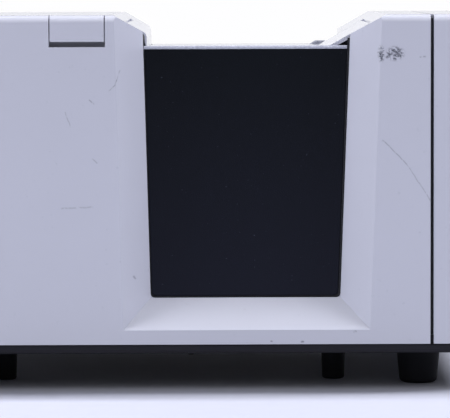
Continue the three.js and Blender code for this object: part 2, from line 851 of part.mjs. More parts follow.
// Rails and carriage of the transmission sample holder
const railRadius = 4;
const railSpread = 44;
const railDrop = 50;
const railHeight = axisHeight - railDrop;
const trayInnerLeft = leftWallAt(railHeight) + trayClearance + traySheet;
const trayInnerRight = rightWallAt(railHeight) - trayClearance - traySheet;
const rails = [["front_rail", -railSpread / 2], ["back_rail", railSpread / 2]];
for (const [name, y] of rails) {
  addPart(
    name,
    rod("x", [0, y, railHeight], railRadius, trayInnerLeft + gap, trayInnerRight - gap, 16),
    steel,
  );
}
const carriageLength = 26;
const carriageParking = 14;
const carriageStart = trayInnerLeft + carriageParking;
const carriageMargin = 8;
const carriageHeight = 16;
const holderThickness = 4;
const holderRise = 30;
const holderTop = axisHeight + holderRise;
const holderWindow = 15;
const carriageHalf = railSpread / 2 + carriageMargin;
const carriageEnd = carriageStart + carriageLength;
const carriageBores = rails.map(([, y]) =>
  rod("x", [0, y, railHeight], railRadius + gap, carriageStart - overrun, carriageEnd + overrun, 16),
);
addPart(
  "holder_carriage",
  cut(
    join(
      block(
        [carriageStart, -carriageHalf, railHeight - carriageHeight / 2],
        [carriageEnd, carriageHalf, railHeight + carriageHeight / 2],
      ),
      block(
        [carriageStart, -carriageHalf, railHeight],
        [carriageStart + holderThickness, carriageHalf, holderTop],
      ),
    ),
    ...carriageBores,
    rod("x", [0, 0, axisHeight], holderWindow, carriageStart - overrun, carriageStart + overrun, 28),
  ),
  blackPaint,
);
const clipPivotDrop = 5;
const clipPivot = holderTop - clipPivotDrop;
const clipLength = 30;
const clipWidth = 12;
const clipSheet = 1.2;
const clipMargin = 1;
const clipY = holderWindow + clipWidth / 2 + clipMargin;
const clipHub = 2.2;
const clipX = carriageStart + holderThickness + gap;
addPart(
  "holder_clip",
  join(
    rod("y", [clipX + clipHub, 0, clipPivot], clipHub, -clipY, -clipY + clipWidth, 14),
    block(
      [clipX + clipHub, -clipY, clipPivot - clipLength],
      [clipX + clipHub + clipSheet, -clipY + clipWidth, clipPivot],
    ),
  ),
  steel,
);

// Optics bench: the plate that carries the sphere, the spectrometer and the main board's posts
const benchMargin = 14;
const benchEdge = 8;
const standEdge = 12;
const standHalfWidth = flangeRadius + standEdge;
const benchHalfDepth = standHalfWidth + benchEdge;
const postRadius = 3;
const postHeight = 7;
const boardMargin = 12.4;
const boardLeft = openingLeft + boardMargin;
const boardRightMargin = 9.2;
const boardInset = 15;
const boardLength = openingWidth - boardMargin - boardRightMargin;
const boardHalfDepth = benchHalfDepth - boardInset;
const boardEdge = 8;
const posts = [boardLeft + boardEdge, boardLeft + boardLength - boardEdge].flatMap((x) =>
  [-boardHalfDepth + boardEdge, boardHalfDepth - boardEdge].map((y) =>
    rod("z", [x, y, 0], postRadius, benchTop - gap, benchTop + postHeight, 12),
  ),
);
addPart(
  "optics_bench",
  join(
    block(
      [leftFace + benchMargin, -benchHalfDepth, benchBottom],
      [rightFace - benchMargin, benchHalfDepth, benchTop],
    ),
    ...posts,
  ),
  aluminium,
);
const boardBottom = benchTop + postHeight + gap;
const boardThickness = 1.6;
const chipHeight = 3;
const chipShares = [[0.2, 0.25, 0.12], [0.5, 0.3, 0.16], [0.35, 0.7, 0.1], [0.75, 0.65, 0.14]];
const boardTop = boardBottom + boardThickness;
addPart(
  "main_board",
  join(
    block([boardLeft, -boardHalfDepth, boardBottom], [boardLeft + boardLength, boardHalfDepth, boardTop]),
    ...chipShares.map(([along, across, size]) => {
      const [x, y] = [boardLeft + boardLength * along, -boardHalfDepth + 2 * boardHalfDepth * across];
      const half = (boardLength * size) / 2;
      return block([x - half, y - half, boardBottom], [x + half, y + half, boardTop + chipHeight]);
    }),
  ),
  circuitBoard,
);

// Integrating sphere: two hollow halves whose flanges bolt to an upright plate
const sphereInnerRadius = sphereOuterRadius - sphereWall;
const flangeThickness = 4;
const sphereX = leftFace + endMargin + sphereOuterRadius;
const halfGap = gap / 2;
const portRadius = 14;
const viewPortRadius = 12;
const lampInset = 38;
const lampX = sphereX - sphereOuterRadius + lampInset;
const lampPortRadius = 8.5;
const plugPortRadius = 7;
const plugOffset = 26;
const plugAngle = Math.asin(plugOffset / sphereOuterRadius);
const arcPoints = (radius, from, to, steps) =>
  Array.from({ length: steps + 1 }, (_, i) => {
    const angle = from + ((to - from) * i) / steps;
    return [radius * Math.sin(angle), radius * Math.cos(angle)];
  });
const profileSteps = 8;
function hemisphere(facing) {
  // Radius and distance from the split plane, from the pole to the flange and back inside
  const flangeAngle = Math.acos(flangeThickness / sphereOuterRadius);
  const outer = arcPoints(sphereOuterRadius, 0, flangeAngle, profileSteps);
  const inner = arcPoints(sphereInnerRadius, 0, Math.PI / 2, profileSteps).reverse();
  const section = [
    ...outer,
    [flangeRadius, flangeThickness],
    [flangeRadius, 0],
    ...inner,
  ].map(([radius, distance]) => [radius, facing * (distance + halfGap)]);
  return turned(section, "x", [sphereX, 0, axisHeight], 36);
}
const radialRod = (angle, radius, from, to, sides = 20) => {
  const geometry = new THREE.CylinderGeometry(radius, radius, to - from, sides);
  geometry.translate(0, (from + to) / 2, 0).rotateZ(-Math.PI / 2).rotateZ(angle);
  geometry.translate(sphereX, 0, axisHeight);
  return solidOf(geometry);
};
const sphereBall = turned(
  arcPoints(sphereOuterRadius + gap, 0, Math.PI, 3 * profileSteps), "x", [sphereX, 0, axisHeight], 36,
);
const lampBeam = rod(
  "z", [lampX, 0, 0], lampPortRadius, axisHeight, overallHeight, 20,
);
addPart(
  "sphere_port_half",
  cut(
    hemisphere(-1),
    rod("x", [0, 0, axisHeight], portRadius, leftFace, sphereX, 24),
    lampBeam,
  ),
  whiteCoating,
);
addPart(
  "sphere_lens_half",
  cut(
    hemisphere(1),
    rod("x", [0, 0, axisHeight], viewPortRadius, sphereX, openingLeft, 24),
    radialRod(plugAngle, plugPortRadius, sphereOuterRadius / 2, sphereOuterRadius + overrun),
  ),
  whiteCoating,
);

// Sphere stand: an upright plate with a shelf for the lamp and an arm for the port plug
const standX = sphereX + halfGap + flangeThickness + gap;
const standThickness = 4;
const shelfThickness = 3;
const shelfHalfWidth = 34;
const shelfOverhang = 6;
const shelfBack = sphereOuterRadius + shelfOverhang;
const housingHalfLength = 24;
const shelfLeft = lampX - housingHalfLength;
const footLength = 22;
const footThickness = 4;
const plugArmGap = 4;
const plugArmFront = sphereOuterRadius + plugArmGap;
const plugArmWidth = 9;
const plugArmHeight = 10;
const plugPivotInset = 12;
const plugPivotX = sphereX + sphereOuterRadius - plugPivotInset;
const plugPivotY = plugArmFront + plugArmWidth / 2;
const plugPinRadius = 1.6;
const shelfBottom = standTop - shelfThickness;
const neckRadius = 12;
const standBottom = benchTop + gap;
addPart(
  "sphere_stand",
  cut(
    join(
      block([standX, -standHalfWidth, standBottom], [standX + standThickness, standHalfWidth, standTop]),
      block(
        [standX, -standHalfWidth, standBottom],
        [standX + footLength, standHalfWidth, standBottom + footThickness],
      ),
      block([shelfLeft, -shelfHalfWidth, shelfBottom], [standX + standThickness, shelfBack, standTop]),
      block(
        [standX, plugArmFront, axisHeight - plugArmHeight / 2],
        [plugPivotX + plugArmWidth / 2, plugArmFront + plugArmWidth, axisHeight + plugArmHeight / 2],
      ),
    ),
    rod("x", [0, 0, axisHeight], sphereOuterRadius + gap, sphereX - overrun, standX + overrun, 48),
    rod("z", [lampX, 0, 0], neckRadius + gap, shelfBottom - overrun, standTop + overrun, 28),
    rod(
      "z", [plugPivotX, plugPivotY, axisHeight], plugPinRadius + gap,
      -plugArmHeight / 2 - overrun, plugArmHeight / 2 + overrun, 14,
    ),
  ),
  aluminium,
);
const plugLeverThickness = 3;
addPart(
  "plug_pivot_pin",
  rod(
    "z", [plugPivotX, plugPivotY, axisHeight], plugPinRadius,
    -plugArmHeight / 2, plugArmHeight / 2 + gap + plugLeverThickness + gap, 12,
  ),
  steel,
);
// The plug that closes the gloss port, on a lever over the arm
const plugSeatGap = 1.5;
const plugSideGap = 1.2;
const plugNose = 1;
const plugRim = 2;
const plugSeat = sphereOuterRadius + plugSeatGap;
const plugCap = 4;
const leverWidth = 9;
const leverBottom = axisHeight + plugArmHeight / 2 + gap;
const plugOut = [
  sphereX + (plugSeat + plugCap) * Math.cos(plugAngle),
  (plugSeat + plugCap) * Math.sin(plugAngle),
];
const leverAngle = Math.atan2(plugPivotY - plugOut[1], plugPivotX - plugOut[0]);
const leverLength = Math.hypot(plugPivotY - plugOut[1], plugPivotX - plugOut[0]);
const leverBar = new THREE.BoxGeometry(leverLength + leverWidth, leverWidth, plugLeverThickness);
leverBar
  .translate(leverLength / 2, 0, 0)
  .rotateZ(leverAngle)
  .translate(plugOut[0], plugOut[1], leverBottom + plugLeverThickness / 2);
addPart(
  "specular_plug",
  cut(
    join(
      radialRod(plugAngle, plugPortRadius - plugSideGap, sphereInnerRadius + plugNose, plugSeat + plugCap),
      radialRod(plugAngle, plugPortRadius + plugRim, plugSeat, plugSeat + plugCap),
      rod("z", [plugOut[0], plugOut[1], 0], plugCap, axisHeight, leverBottom + plugLeverThickness / 2, 16),
      solidOf(leverBar),
    ),
    rod("z", [plugPivotX, plugPivotY, 0], plugPinRadius + gap, axisHeight, axisHeight + overrun, 14),
  ),
  whiteCoating,
);

// Port tube and port plate at the left end
const tubeOuter = 22;
const portPlateRadius = 38;
const portPlateThickness = 3.2;
const apertureRadius = 12.7;
const portSphereX = sphereX - Math.sqrt(sphereOuterRadius ** 2 - tubeOuter ** 2);
addPart(
  "port_tube",
  cut(
    sleeve("x", [0, 0, axisHeight], portRadius + wall, tubeOuter, leftFace, portSphereX),
    rod("x", [0, 0, axisHeight], portRadius + wall, leftFace - overrun, sphereX, 32),
    sphereBall,
  ),
  whiteCoating,
);
const spigotInner = tubeOuter + gap;
const plateFace = leftFace - gap - portPlateThickness;
addPart(
  "port_plate",
  turned(
    [
      [apertureRadius, plateFace],
      [apertureRadius, leftFace - gap],
      [spigotInner, leftFace - gap],
      [spigotInner, leftFace + wall],
      [portHoleRadius - gap, leftFace + wall],
      [portHoleRadius - gap, leftFace - gap],
      [portPlateRadius, leftFace - gap],
      [portPlateRadius, plateFace],
      [apertureRadius, plateFace],
    ],
    "x", [0, 0, axisHeight], 40,
  ),
  blackPaint,
);

// Lamp over the sphere: a neck through the shelf, a housing, the flash tube and the UV filter slide
addPart(
  "lamp_neck",
  cut(
    sleeve(
      "z", [lampX, 0, 0], lampPortRadius, neckRadius,
      axisHeight + sphereOuterRadius / 2, standTop - gap, 24,
    ),
    sphereBall,
  ),
  blackPaint,
);
const housingHalfWidth = 30;
const housingWall = 2.5;
const housingBottom = standTop + gap;
const housingTop = housingBottom + housingHeight;
const slideThickness = 1.8;
const slideHalfWidth = 12;
const slideGap = 0.4;
const slideTravel = 30;
const housingBox = (inward, low, high) => block(
  [lampX - housingHalfLength + inward, -housingHalfWidth + inward, low],
  [lampX + housingHalfLength - inward, housingHalfWidth - inward, high],
);
const channelTop = housingBottom + slideThickness + 2 * slideGap;
addPart(
  "lamp_housing",
  cut(
    housingBox(0, housingBottom, housingTop),
    housingBox(housingWall, channelTop + housingWall, housingTop - housingWall),
    block(
      [lampX - slideHalfWidth - slideGap, -housingHalfWidth - overrun, housingBottom - overrun],
      [lampX + slideHalfWidth + slideGap, housingHalfWidth + overrun, channelTop],
    ),
    rod("z", [lampX, 0, 0], lampPortRadius, housingBottom - overrun, channelTop + overrun, 24),
  ),
  aluminium,
);
const slideFront = -15;
const slideLength = 62;
const slideBottom = housingBottom + slideGap / 2;
const filterRadius = 9.5;
addPart(
  "uv_filter_slide",
  cut(
    block(
      [lampX - slideHalfWidth, slideFront, slideBottom],
      [lampX + slideHalfWidth, slideFront + slideLength, slideBottom + slideThickness],
    ),
    rod("z", [lampX, 0, 0], filterRadius, slideBottom - overrun, slideBottom + overrun, 24),
    rod("z", [lampX, slideTravel, 0], filterRadius, slideBottom - overrun, slideBottom + overrun, 24),
  ),
  blackPaint,
);
addPart(
  "uv_filter_glass",
  rod(
    "z", [lampX, slideTravel, 0], filterRadius - gap,
    slideBottom + gap / 2, slideBottom + slideThickness, 24,
  ),
  clearGlass,
);
const lampRadius = 6;
const lampBase = 9;
const lampBaseHeight = 6;
const lampCeiling = housingTop - housingWall - gap;
addPart(
  "xenon_lamp",
  turned(
    [
      [0, channelTop + housingWall + lampRadius],
      ...arcPoints(lampRadius, Math.PI, Math.PI / 2, 4).slice(1).map(([r, z]) => [
        r, channelTop + housingWall + 2 * lampRadius + z,
      ]),
      [lampRadius, lampCeiling - lampBaseHeight],
      [lampBase, lampCeiling - lampBaseHeight],
      [lampBase, lampCeiling],
      [0, lampCeiling],
    ],
    "z", [lampX, 0, 0], 20,
  ),
  clearGlass,
);

// Beam path into the compartment and out of it to the spectrometer
const viewSphereX = sphereX + Math.sqrt(sphereOuterRadius ** 2 - beamHoleRadius ** 2);
const trayLeftAtAxis = leftWallAt(axisHeight) + trayClearance + traySheet;
const trayRightAtAxis = rightWallAt(axisHeight) - trayClearance - traySheet;
const beamTubeOuter = beamHoleRadius - gap;
const beamTubeInner = viewPortRadius + gap;
addPart(
  "beam_tube",
  cut(
    sleeve("x", [0, 0, axisHeight], beamTubeInner, beamTubeOuter, viewSphereX - wall, trayLeftAtAxis + wall),
    sphereBall,
  ),
  blackPaint,
);
const windowRingRadius = 26;
const windowRingThickness = 3;
const ringLean = leftLeanShare * windowRingRadius;
addPart(
  "window_ring",
  sleeve(
    "x", [0, 0, axisHeight], beamHoleRadius, windowRingRadius,
    trayLeftAtAxis + ringLean + gap, trayLeftAtAxis + ringLean + gap + windowRingThickness,
  ),
  blackPaint,
);
const barrelLength = 34;
const barrelInner = 14;
const barrelOuter = lensHoleRadius - gap;
const barrelStart = trayRightAtAxis - windowRingThickness;
const barrelEnd = barrelStart + barrelLength;
addPart(
  "lens_barrel",
  sleeve("x", [0, 0, axisHeight], barrelInner, barrelOuter, barrelStart, barrelEnd),
  blackPaint,
);
const lensCrown = 2.5;
const lensEdge = 4;
const lensRadius = barrelInner - gap;
const lensSetback = 9;
const lensX = barrelStart + lensSetback;
const crownSteps = 4;
const crown = (facing) => Array.from({ length: crownSteps }, (_, i) => {
  const radius = (lensRadius * i) / crownSteps;
  return [radius, facing * (lensEdge / 2 + lensCrown * (1 - (radius / lensRadius) ** 2))];
});
addPart(
  "objective_lens",
  turned(
    [...crown(-1), [lensRadius, -lensEdge / 2], [lensRadius, lensEdge / 2], ...crown(1).reverse()],
    "x", [lensX, 0, axisHeight], 28,
  ),
  clearGlass,
);

// Spectrometer: a flat light-tight case with slit, grating and detector, on its own stand
const specFront = -95;
const specBack = 40;
const specHalfHeight = 52;
const specDepth = 46;
const specWall = 3;
const specX = barrelEnd + gap;
const specLow = axisHeight - specHalfHeight;
const specHigh = axisHeight + specHalfHeight;
const slitRadius = 10;
addPart(
  "spectrometer_case",
  cut(
    block([specX, specFront, specLow], [specX + specDepth, specBack, specHigh]),
    block(
      [specX + specWall, specFront + specWall, specLow + specWall],
      [specX + specDepth + overrun, specBack - specWall, specHigh - specWall],
    ),
    rod("x", [0, 0, axisHeight], slitRadius, specX - overrun, specX + overrun, 24),
  ),
  aluminium,
);
addPart(
  "spectrometer_lid",
  block(
    [specX + specDepth + gap, specFront, specLow],
    [specX + specDepth + gap + specWall, specBack, specHigh],
  ),
  aluminium,
);
const slitPlateHalf = 16;
const slitPlateThickness = 1.5;
const slitHalfHeight = 8;
const slitHalfWidth = 0.6;
addPart(
  "slit_plate",
  cut(
    block(
      [specX + specWall + gap, -slitPlateHalf, axisHeight - slitPlateHalf],
      [specX + specWall + gap + slitPlateThickness, slitPlateHalf, axisHeight + slitPlateHalf],
    ),
    block(
      [specX, -slitHalfWidth, axisHeight - slitHalfHeight],
      [specX + specDepth, slitHalfWidth, axisHeight + slitHalfHeight],
    ),
  ),
  blackPaint,
);
const gratingRadius = 20;
const gratingThickness = 12;
const gratingSetback = 29;
const gratingY = specFront + gratingSetback;
const gratingFoot = 10;
addPart(
  "grating",
  join(
    rod(
      "y", [specX + specDepth / 2, 0, axisHeight], gratingRadius,
      gratingY - gratingThickness / 2, gratingY + gratingThickness / 2, 32,
    ),
    block(
      [specX + specDepth / 2 - gratingFoot, gratingY - gratingThickness / 2, specLow + specWall + gap],
      [specX + specDepth / 2 + gratingFoot, gratingY + gratingThickness / 2, axisHeight],
    ),
  ),
  aluminium,
);
const detectorY = specBack - specWall - gap;
const detectorHalf = 17;
const detectorBoard = 1.6;
const detectorChip = 4;
addPart(
  "detector_board",
  join(
    block(
      [
        specX + specWall + gap + slitPlateThickness + gap,
        detectorY - detectorBoard,
        axisHeight - 2 * detectorHalf,
      ],
      [specX + specDepth - gap, detectorY, axisHeight + 2 * detectorHalf],
    ),
    block(
      [
        specX + specDepth / 2 - detectorChip,
        detectorY - detectorBoard - detectorChip,
        axisHeight - detectorHalf,
      ],
      [specX + specDepth / 2 + detectorChip, detectorY, axisHeight + detectorHalf],
    ),
  ),
  circuitBoard,
);
const standLeg = 5;
addPart(
  "spectrometer_stand",
  cut(
    block([specX, specFront, benchTop + gap], [specX + specDepth, specBack, specLow - gap]),
    block(
      [specX - overrun, specFront + standLeg, benchTop + gap + standLeg],
      [specX + specDepth + overrun, specBack - standLeg, specLow - gap - standLeg],
    ),
  ),
  aluminium,
);

// Power supply on the pan behind the sphere
const supplyMargin = 48;
const supplyToValley = 17.6;
const supplyClearance = 4;
const supplyBackGap = 9;
const supplyLeft = leftFace + supplyMargin;
const supplyFront = benchHalfDepth + supplyClearance;
const supplyLength = leftTowerLength - supplyMargin - supplyToValley;
const supplyDepth = coverRear - supplyBackGap - supplyFront;
const supplyHeight = 76;
const supplyBottom = benchBottom;
addPart(
  "power_supply",
  block(
    [supplyLeft, supplyFront, supplyBottom],
    [supplyLeft + supplyLength, supplyFront + supplyDepth, supplyBottom + supplyHeight],
  ),
  aluminium,
);

// Rear panel with the fan, the power inlet, its switch and the data connector
const panelFront = coverRear + gap;
const panelInset = 1.5;
const panelLow = coverBottom + panelInset;
const panelHigh = overallHeight - panelInset;
const fanHalf = 40;
const fanRadius = 37;
const fanMargin = 50;
const fanDrop = 110;
const fanDepth = 25;
const fanX = rightFace - fanMargin;
const fanZ = overallHeight - fanDrop;
const inletMargin = 120;
const inletRise = 24.9;
const inletX = leftFace + inletMargin;
const inletZ = supplyBottom + supplyHeight + inletRise;
const inletHalfWidth = 14;
const inletHalfHeight = 12;
const inletDepth = 24;
const switchSpread = 44;
const switchX = inletX - switchSpread;
const switchHalfWidth = 10.5;
const switchHalfHeight = 14;
const connectorMargin = 64;
const connectorRise = 55.2;
const connectorX = rightFace - connectorMargin;
const connectorZ = panBottom + connectorRise;
const connectorHalfWidth = 20;
const connectorHalfHeight = 8;
const cutout = (x, z, halfWidth, halfHeight) => block(
  [x - halfWidth - gap, coverRear - overrun, z - halfHeight - gap],
  [x + halfWidth + gap, rearFace + overrun, z + halfHeight + gap],
);
const panelOutline = [
  [leftFace + panelInset, panelLow],
  [rightFace - panelInset, panelLow],
  [rightFace - panelInset, panelHigh],
  [rightShoulder, panelHigh],
  [rightWallAt(bridgeTop), bridgeTop],
  [leftWallAt(bridgeTop), bridgeTop],
  [leftShoulder, panelHigh],
  [leftFace + panelInset, panelHigh],
];
addPart(
  "rear_panel",
  cut(
    prism(panelOutline, "y", panelFront, rearFace),
    rod("y", [fanX, 0, fanZ], fanRadius, coverRear - overrun, rearFace + overrun, 36),
    cutout(inletX, inletZ, inletHalfWidth, inletHalfHeight),
    cutout(switchX, inletZ, switchHalfWidth, switchHalfHeight),
    cutout(connectorX, connectorZ, connectorHalfWidth, connectorHalfHeight),
  ),
  blackPaint,
);

const fanBack = panelFront - gap;
const fanFront = fanBack - fanDepth;
const fanStrut = 4;
const motorRadius = 14;
const strutCount = 3;
const fanCentre = [fanX, 0, fanZ];
const fanStruts = Array.from({ length: strutCount }, (_, i) => {
  const strut = new THREE.BoxGeometry(fanRadius + wall, fanStrut, fanStrut);
  strut
    .translate((fanRadius + wall) / 2, 0, 0)
    .rotateY((2 * Math.PI * i) / strutCount)
    .translate(fanX, fanFront + fanStrut / 2, fanZ);
  return solidOf(strut);
});
addPart(
  "fan_frame",
  join(
    cut(
      block([fanX - fanHalf, fanFront, fanZ - fanHalf], [fanX + fanHalf, fanBack, fanZ + fanHalf]),
      rod("y", fanCentre, fanRadius, fanFront - overrun, fanBack + overrun, 36),
    ),
    rod("y", fanCentre, motorRadius, fanFront, fanFront + fanStrut, 24),
    ...fanStruts,
  ),
  darkPlastic,
);
const bladeCount = 7;
const bladeClearance = 1.5;
const bladeTip = fanRadius - bladeClearance;
const bladeChord = 15;
const bladeThickness = 1.4;
const bladePitch = Math.PI / 5;
const rotorFront = fanFront + fanStrut + gap;
const rotorBack = fanBack - wall;
const blades = Array.from({ length: bladeCount }, (_, i) => {
  const blade = new THREE.BoxGeometry(bladeTip, bladeThickness, bladeChord);
  blade
    .translate(bladeTip / 2, 0, 0)
    .rotateX(bladePitch)
    .rotateY((2 * Math.PI * i) / bladeCount)
    .translate(fanX, (rotorFront + rotorBack) / 2, fanZ);
  return solidOf(blade);
});
addPart(
  "fan_rotor",
  join(rod("y", fanCentre, motorRadius, rotorFront, rotorBack, 24), ...blades),
  darkPlastic,
);

const inletWall = 3;
const inletRecess = 17;
const pinSize = 2;
const pinSpread = 7;
const pinDrop = 3;
const pinLength = 12;
const inletFloor = rearFace - inletRecess;
const inletPins = [[-pinSpread, -pinDrop], [pinSpread, -pinDrop], [0, pinDrop]];
addPart(
  "power_inlet",
  join(
    cut(
      block(
        [inletX - inletHalfWidth, rearFace - inletDepth, inletZ - inletHalfHeight],
        [inletX + inletHalfWidth, rearFace, inletZ + inletHalfHeight],
      ),
      block(
        [inletX - inletHalfWidth + inletWall, inletFloor, inletZ - inletHalfHeight + inletWall],
        [inletX + inletHalfWidth - inletWall, rearFace + overrun, inletZ + inletHalfHeight - inletWall],
      ),
    ),
    ...inletPins.map(([x, z]) => block(
      [inletX + x - pinSize / 2, inletFloor - wall, inletZ + z - pinSize],
      [inletX + x + pinSize / 2, inletFloor + pinLength, inletZ + z + pinSize],
    )),
  ),
  darkPlastic,
);
const rockerHalfHeight = 12.6;
const rockerBack = 8;
const rockerProud = 0.6;
const rockerValley = 5;
const rockerLow = 3;
addPart(
  "power_switch",
  prism(
    [
      [rearFace - rockerBack, inletZ - rockerHalfHeight],
      [rearFace - rockerLow, inletZ - rockerHalfHeight],
      [rearFace - rockerValley, inletZ],
      [rearFace - rockerProud, inletZ + rockerHalfHeight],
      [rearFace - rockerBack, inletZ + rockerHalfHeight],
    ],
    "x", switchX - switchHalfWidth, switchX + switchHalfWidth,
  ),
  darkPlastic,
);
const connectorDepth = 16;
const connectorWall = 2.5;
const connectorRecess = 8;
addPart(
  "data_connector",
  cut(
    block(
      [connectorX - connectorHalfWidth, rearFace - connectorDepth, connectorZ - connectorHalfHeight],
      [connectorX + connectorHalfWidth, rearFace, connectorZ + connectorHalfHeight],
    ),
    block(
      [
        connectorX - connectorHalfWidth + connectorWall,
        rearFace - connectorRecess,
        connectorZ - connectorHalfHeight + connectorWall,
      ],
      [
        connectorX + connectorHalfWidth - connectorWall,
        rearFace + overrun,
        connectorZ + connectorHalfHeight - connectorWall,
      ],
    ),
  ),
  aluminium,
);

// Sample clamp: a sprung arm that presses a sample on the port plate
const padThickness = 5;
const padRadius = 16;
const armThickness = 4;
const armHalfWidth = 10;
const knobRadius = 8;
const armFace = plateFace - gap - padThickness - gap;
const armBack = armFace - armThickness;
const pivotDrop = 62;
const pivotX = armFace - armThickness / 2;
const pivotZ = axisHeight - pivotDrop;
const armHubRadius = 4.5;
const armTip = 12;
const clampPinRadius = 2;
const springLength = 3.4;
const springOuter = 4;
const earThickness = 4;
const earInner = armHalfWidth + gap + springLength + gap;
const clampPinBore = rod(
  "y", [pivotX, 0, pivotZ], clampPinRadius + gap, -overrun - earInner, overrun + earInner, 16,
);
addPart(
  "clamp_arm",
  cut(
    join(
      block([armBack, -armHalfWidth, pivotZ], [armFace, armHalfWidth, axisHeight + padRadius + armTip]),
      rod("y", [pivotX, 0, pivotZ], armHubRadius, -armHalfWidth, armHalfWidth, 20),
      rod("x", [0, 0, axisHeight], knobRadius, -overallLength / 2, armFace, 24),
    ),
    clampPinBore,
  ),
  blackPaint,
);
addPart(
  "clamp_pad",
  rod("x", [0, 0, axisHeight], padRadius, armFace + gap, plateFace - gap, 28),
  rubber,
);
const bracketHalfHeight = 14;
const bracketPlate = 3;
const bracketFace = leftFace - gap - bracketPlate;
const earReach = 5;
const bracketHalfWidth = earInner + earThickness;
const ears = [-1, 1].map((side) => {
  const [from, to] = [earInner * side, bracketHalfWidth * side].sort((a, b) => a - b);
  return block([pivotX - earReach, from, pivotZ - earReach], [leftFace - gap, to, pivotZ + earReach]);
});
addPart(
  "clamp_bracket",
  cut(
    join(
      block(
        [bracketFace, -bracketHalfWidth, pivotZ - bracketHalfHeight],
        [leftFace - gap, bracketHalfWidth, pivotZ + bracketHalfHeight],
      ),
      ...ears,
    ),
    clampPinBore,
  ),
  aluminium,
);
addPart(
  "clamp_pin",
  rod("y", [pivotX, 0, pivotZ], clampPinRadius, -bracketHalfWidth, bracketHalfWidth, 14),
  steel,
);
addPart(
  "clamp_spring",
  sleeve(
    "y", [pivotX, 0, pivotZ], clampPinRadius + gap, springOuter,
    armHalfWidth + gap, armHalfWidth + gap + springLength, 20,
  ),
  steel,
);

// Measure button above the port
const buttonProud = 3;
const buttonFlange = 1.6;
const buttonStem = 5;
addPart(
  "read_button",
  join(
    rod("x", [0, 0, buttonHeight], buttonRadius, leftFace - buttonProud, leftFace + wall + buttonStem, 24),
    rod(
      "x", [0, 0, buttonHeight], buttonRadius + buttonFlange,
      leftFace + wall + gap, leftFace + wall + gap + buttonFlange, 24,
    ),
  ),
  darkPlastic,
);

// Feet: four tapered rubber feet near the corners and two slim ones between them in front
const footTopRadius = 17.7;
const footBottomRadius = 15.5;
const footEdge = 4;
const footInset = 45;
const rightFootInset = 42.6;
const slimTopRadius = 10;
const slimBottomRadius = 9.2;
const slimEdge = 2;
const slimLeftMargin = 74.3;
const slimRightMargin = 111.2;
const slimFeetX = [
  ["slim_foot_left", leftFace + slimLeftMargin],
  ["slim_foot_right", rightFace - slimRightMargin],
];
const slimInset = 70;
function foot(x, y, topRadius, bottomRadius, edge) {
  const rounding = arcPoints(edge, Math.PI, Math.PI / 2, 3).map(([radius, height]) => [
    bottomRadius - edge + radius,
    edge + height,
  ]);
  return turned(
    [[0, 0], ...rounding, [topRadius, footHeight], [0, footHeight]], "z", [x, y, 0], 28,
  );
}
const footX = rightFace - rightFootInset;
for (const [side, x] of [["left", -footX + clampReach], ["right", footX]]) {
  for (const [end, y] of [["front", frontFace + footInset], ["rear", rearFace - footInset]]) {
    addPart(`foot_${end}_${side}`, foot(x, y, footTopRadius, footBottomRadius, footEdge), rubber);
  }
}
for (const [name, x] of slimFeetX) {
  addPart(
    name, foot(x, frontFace + slimInset, slimTopRadius, slimBottomRadius, slimEdge), rubber,
  );
}

export default instrument;
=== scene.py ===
"""The looks of a bench colour spectrophotometer with a lidded compartment between two painted towers.

Metres, +Z up, front towards -Y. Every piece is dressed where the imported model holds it.
"""

import math

import bmesh
import bpy
from mathutils import Matrix, Vector


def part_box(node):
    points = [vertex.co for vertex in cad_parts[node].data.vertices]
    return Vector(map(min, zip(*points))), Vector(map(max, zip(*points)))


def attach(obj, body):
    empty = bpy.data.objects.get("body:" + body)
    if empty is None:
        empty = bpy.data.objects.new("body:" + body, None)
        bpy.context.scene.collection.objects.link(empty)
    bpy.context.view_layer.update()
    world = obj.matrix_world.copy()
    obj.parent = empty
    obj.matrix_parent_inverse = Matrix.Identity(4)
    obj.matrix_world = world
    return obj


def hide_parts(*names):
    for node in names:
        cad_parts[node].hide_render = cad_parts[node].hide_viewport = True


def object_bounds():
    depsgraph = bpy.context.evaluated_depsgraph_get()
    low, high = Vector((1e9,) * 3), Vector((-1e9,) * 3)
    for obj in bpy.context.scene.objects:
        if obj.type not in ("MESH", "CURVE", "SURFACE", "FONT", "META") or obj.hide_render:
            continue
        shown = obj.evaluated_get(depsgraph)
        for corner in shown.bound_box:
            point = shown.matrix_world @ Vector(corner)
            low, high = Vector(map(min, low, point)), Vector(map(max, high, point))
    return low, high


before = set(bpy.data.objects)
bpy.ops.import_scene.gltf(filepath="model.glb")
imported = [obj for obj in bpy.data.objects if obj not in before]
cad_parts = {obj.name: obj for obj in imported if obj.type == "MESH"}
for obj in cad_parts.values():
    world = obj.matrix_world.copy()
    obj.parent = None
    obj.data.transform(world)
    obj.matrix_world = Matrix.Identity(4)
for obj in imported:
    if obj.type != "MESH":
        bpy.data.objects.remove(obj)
cad_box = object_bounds()

# Camera
# A long lens 2.5 m in front of the case and a little above it, as the instrument was photographed.
# A pixel of the 450 x 418 photograph is 0.8 mm on the front face, which pixel_on_front uses for marks.
MM = 0.001
FRONT_Y = cad_box[0].y
EYE = Vector((40 * MM, FRONT_Y - 2500 * MM, 324.6 * MM))
LOOKED_AT = Vector((40 * MM, FRONT_Y, 145.0 * MM))
ROLL = math.radians(0.2)
# Focal length and sensor width, in millimetres
LENS = 250.6
SENSOR = 36
PIXEL = 0.8 * MM
MIDDLE_COLUMN = 225
HORIZON_ROW = -16


def pixel_on_front(column, row):
    """The place on the front face that a pixel of the photograph shows."""
    x = EYE.x + (column - MIDDLE_COLUMN) * PIXEL
    z = EYE.z - (row - HORIZON_ROW) * PIXEL
    return Vector((x, FRONT_Y, z))


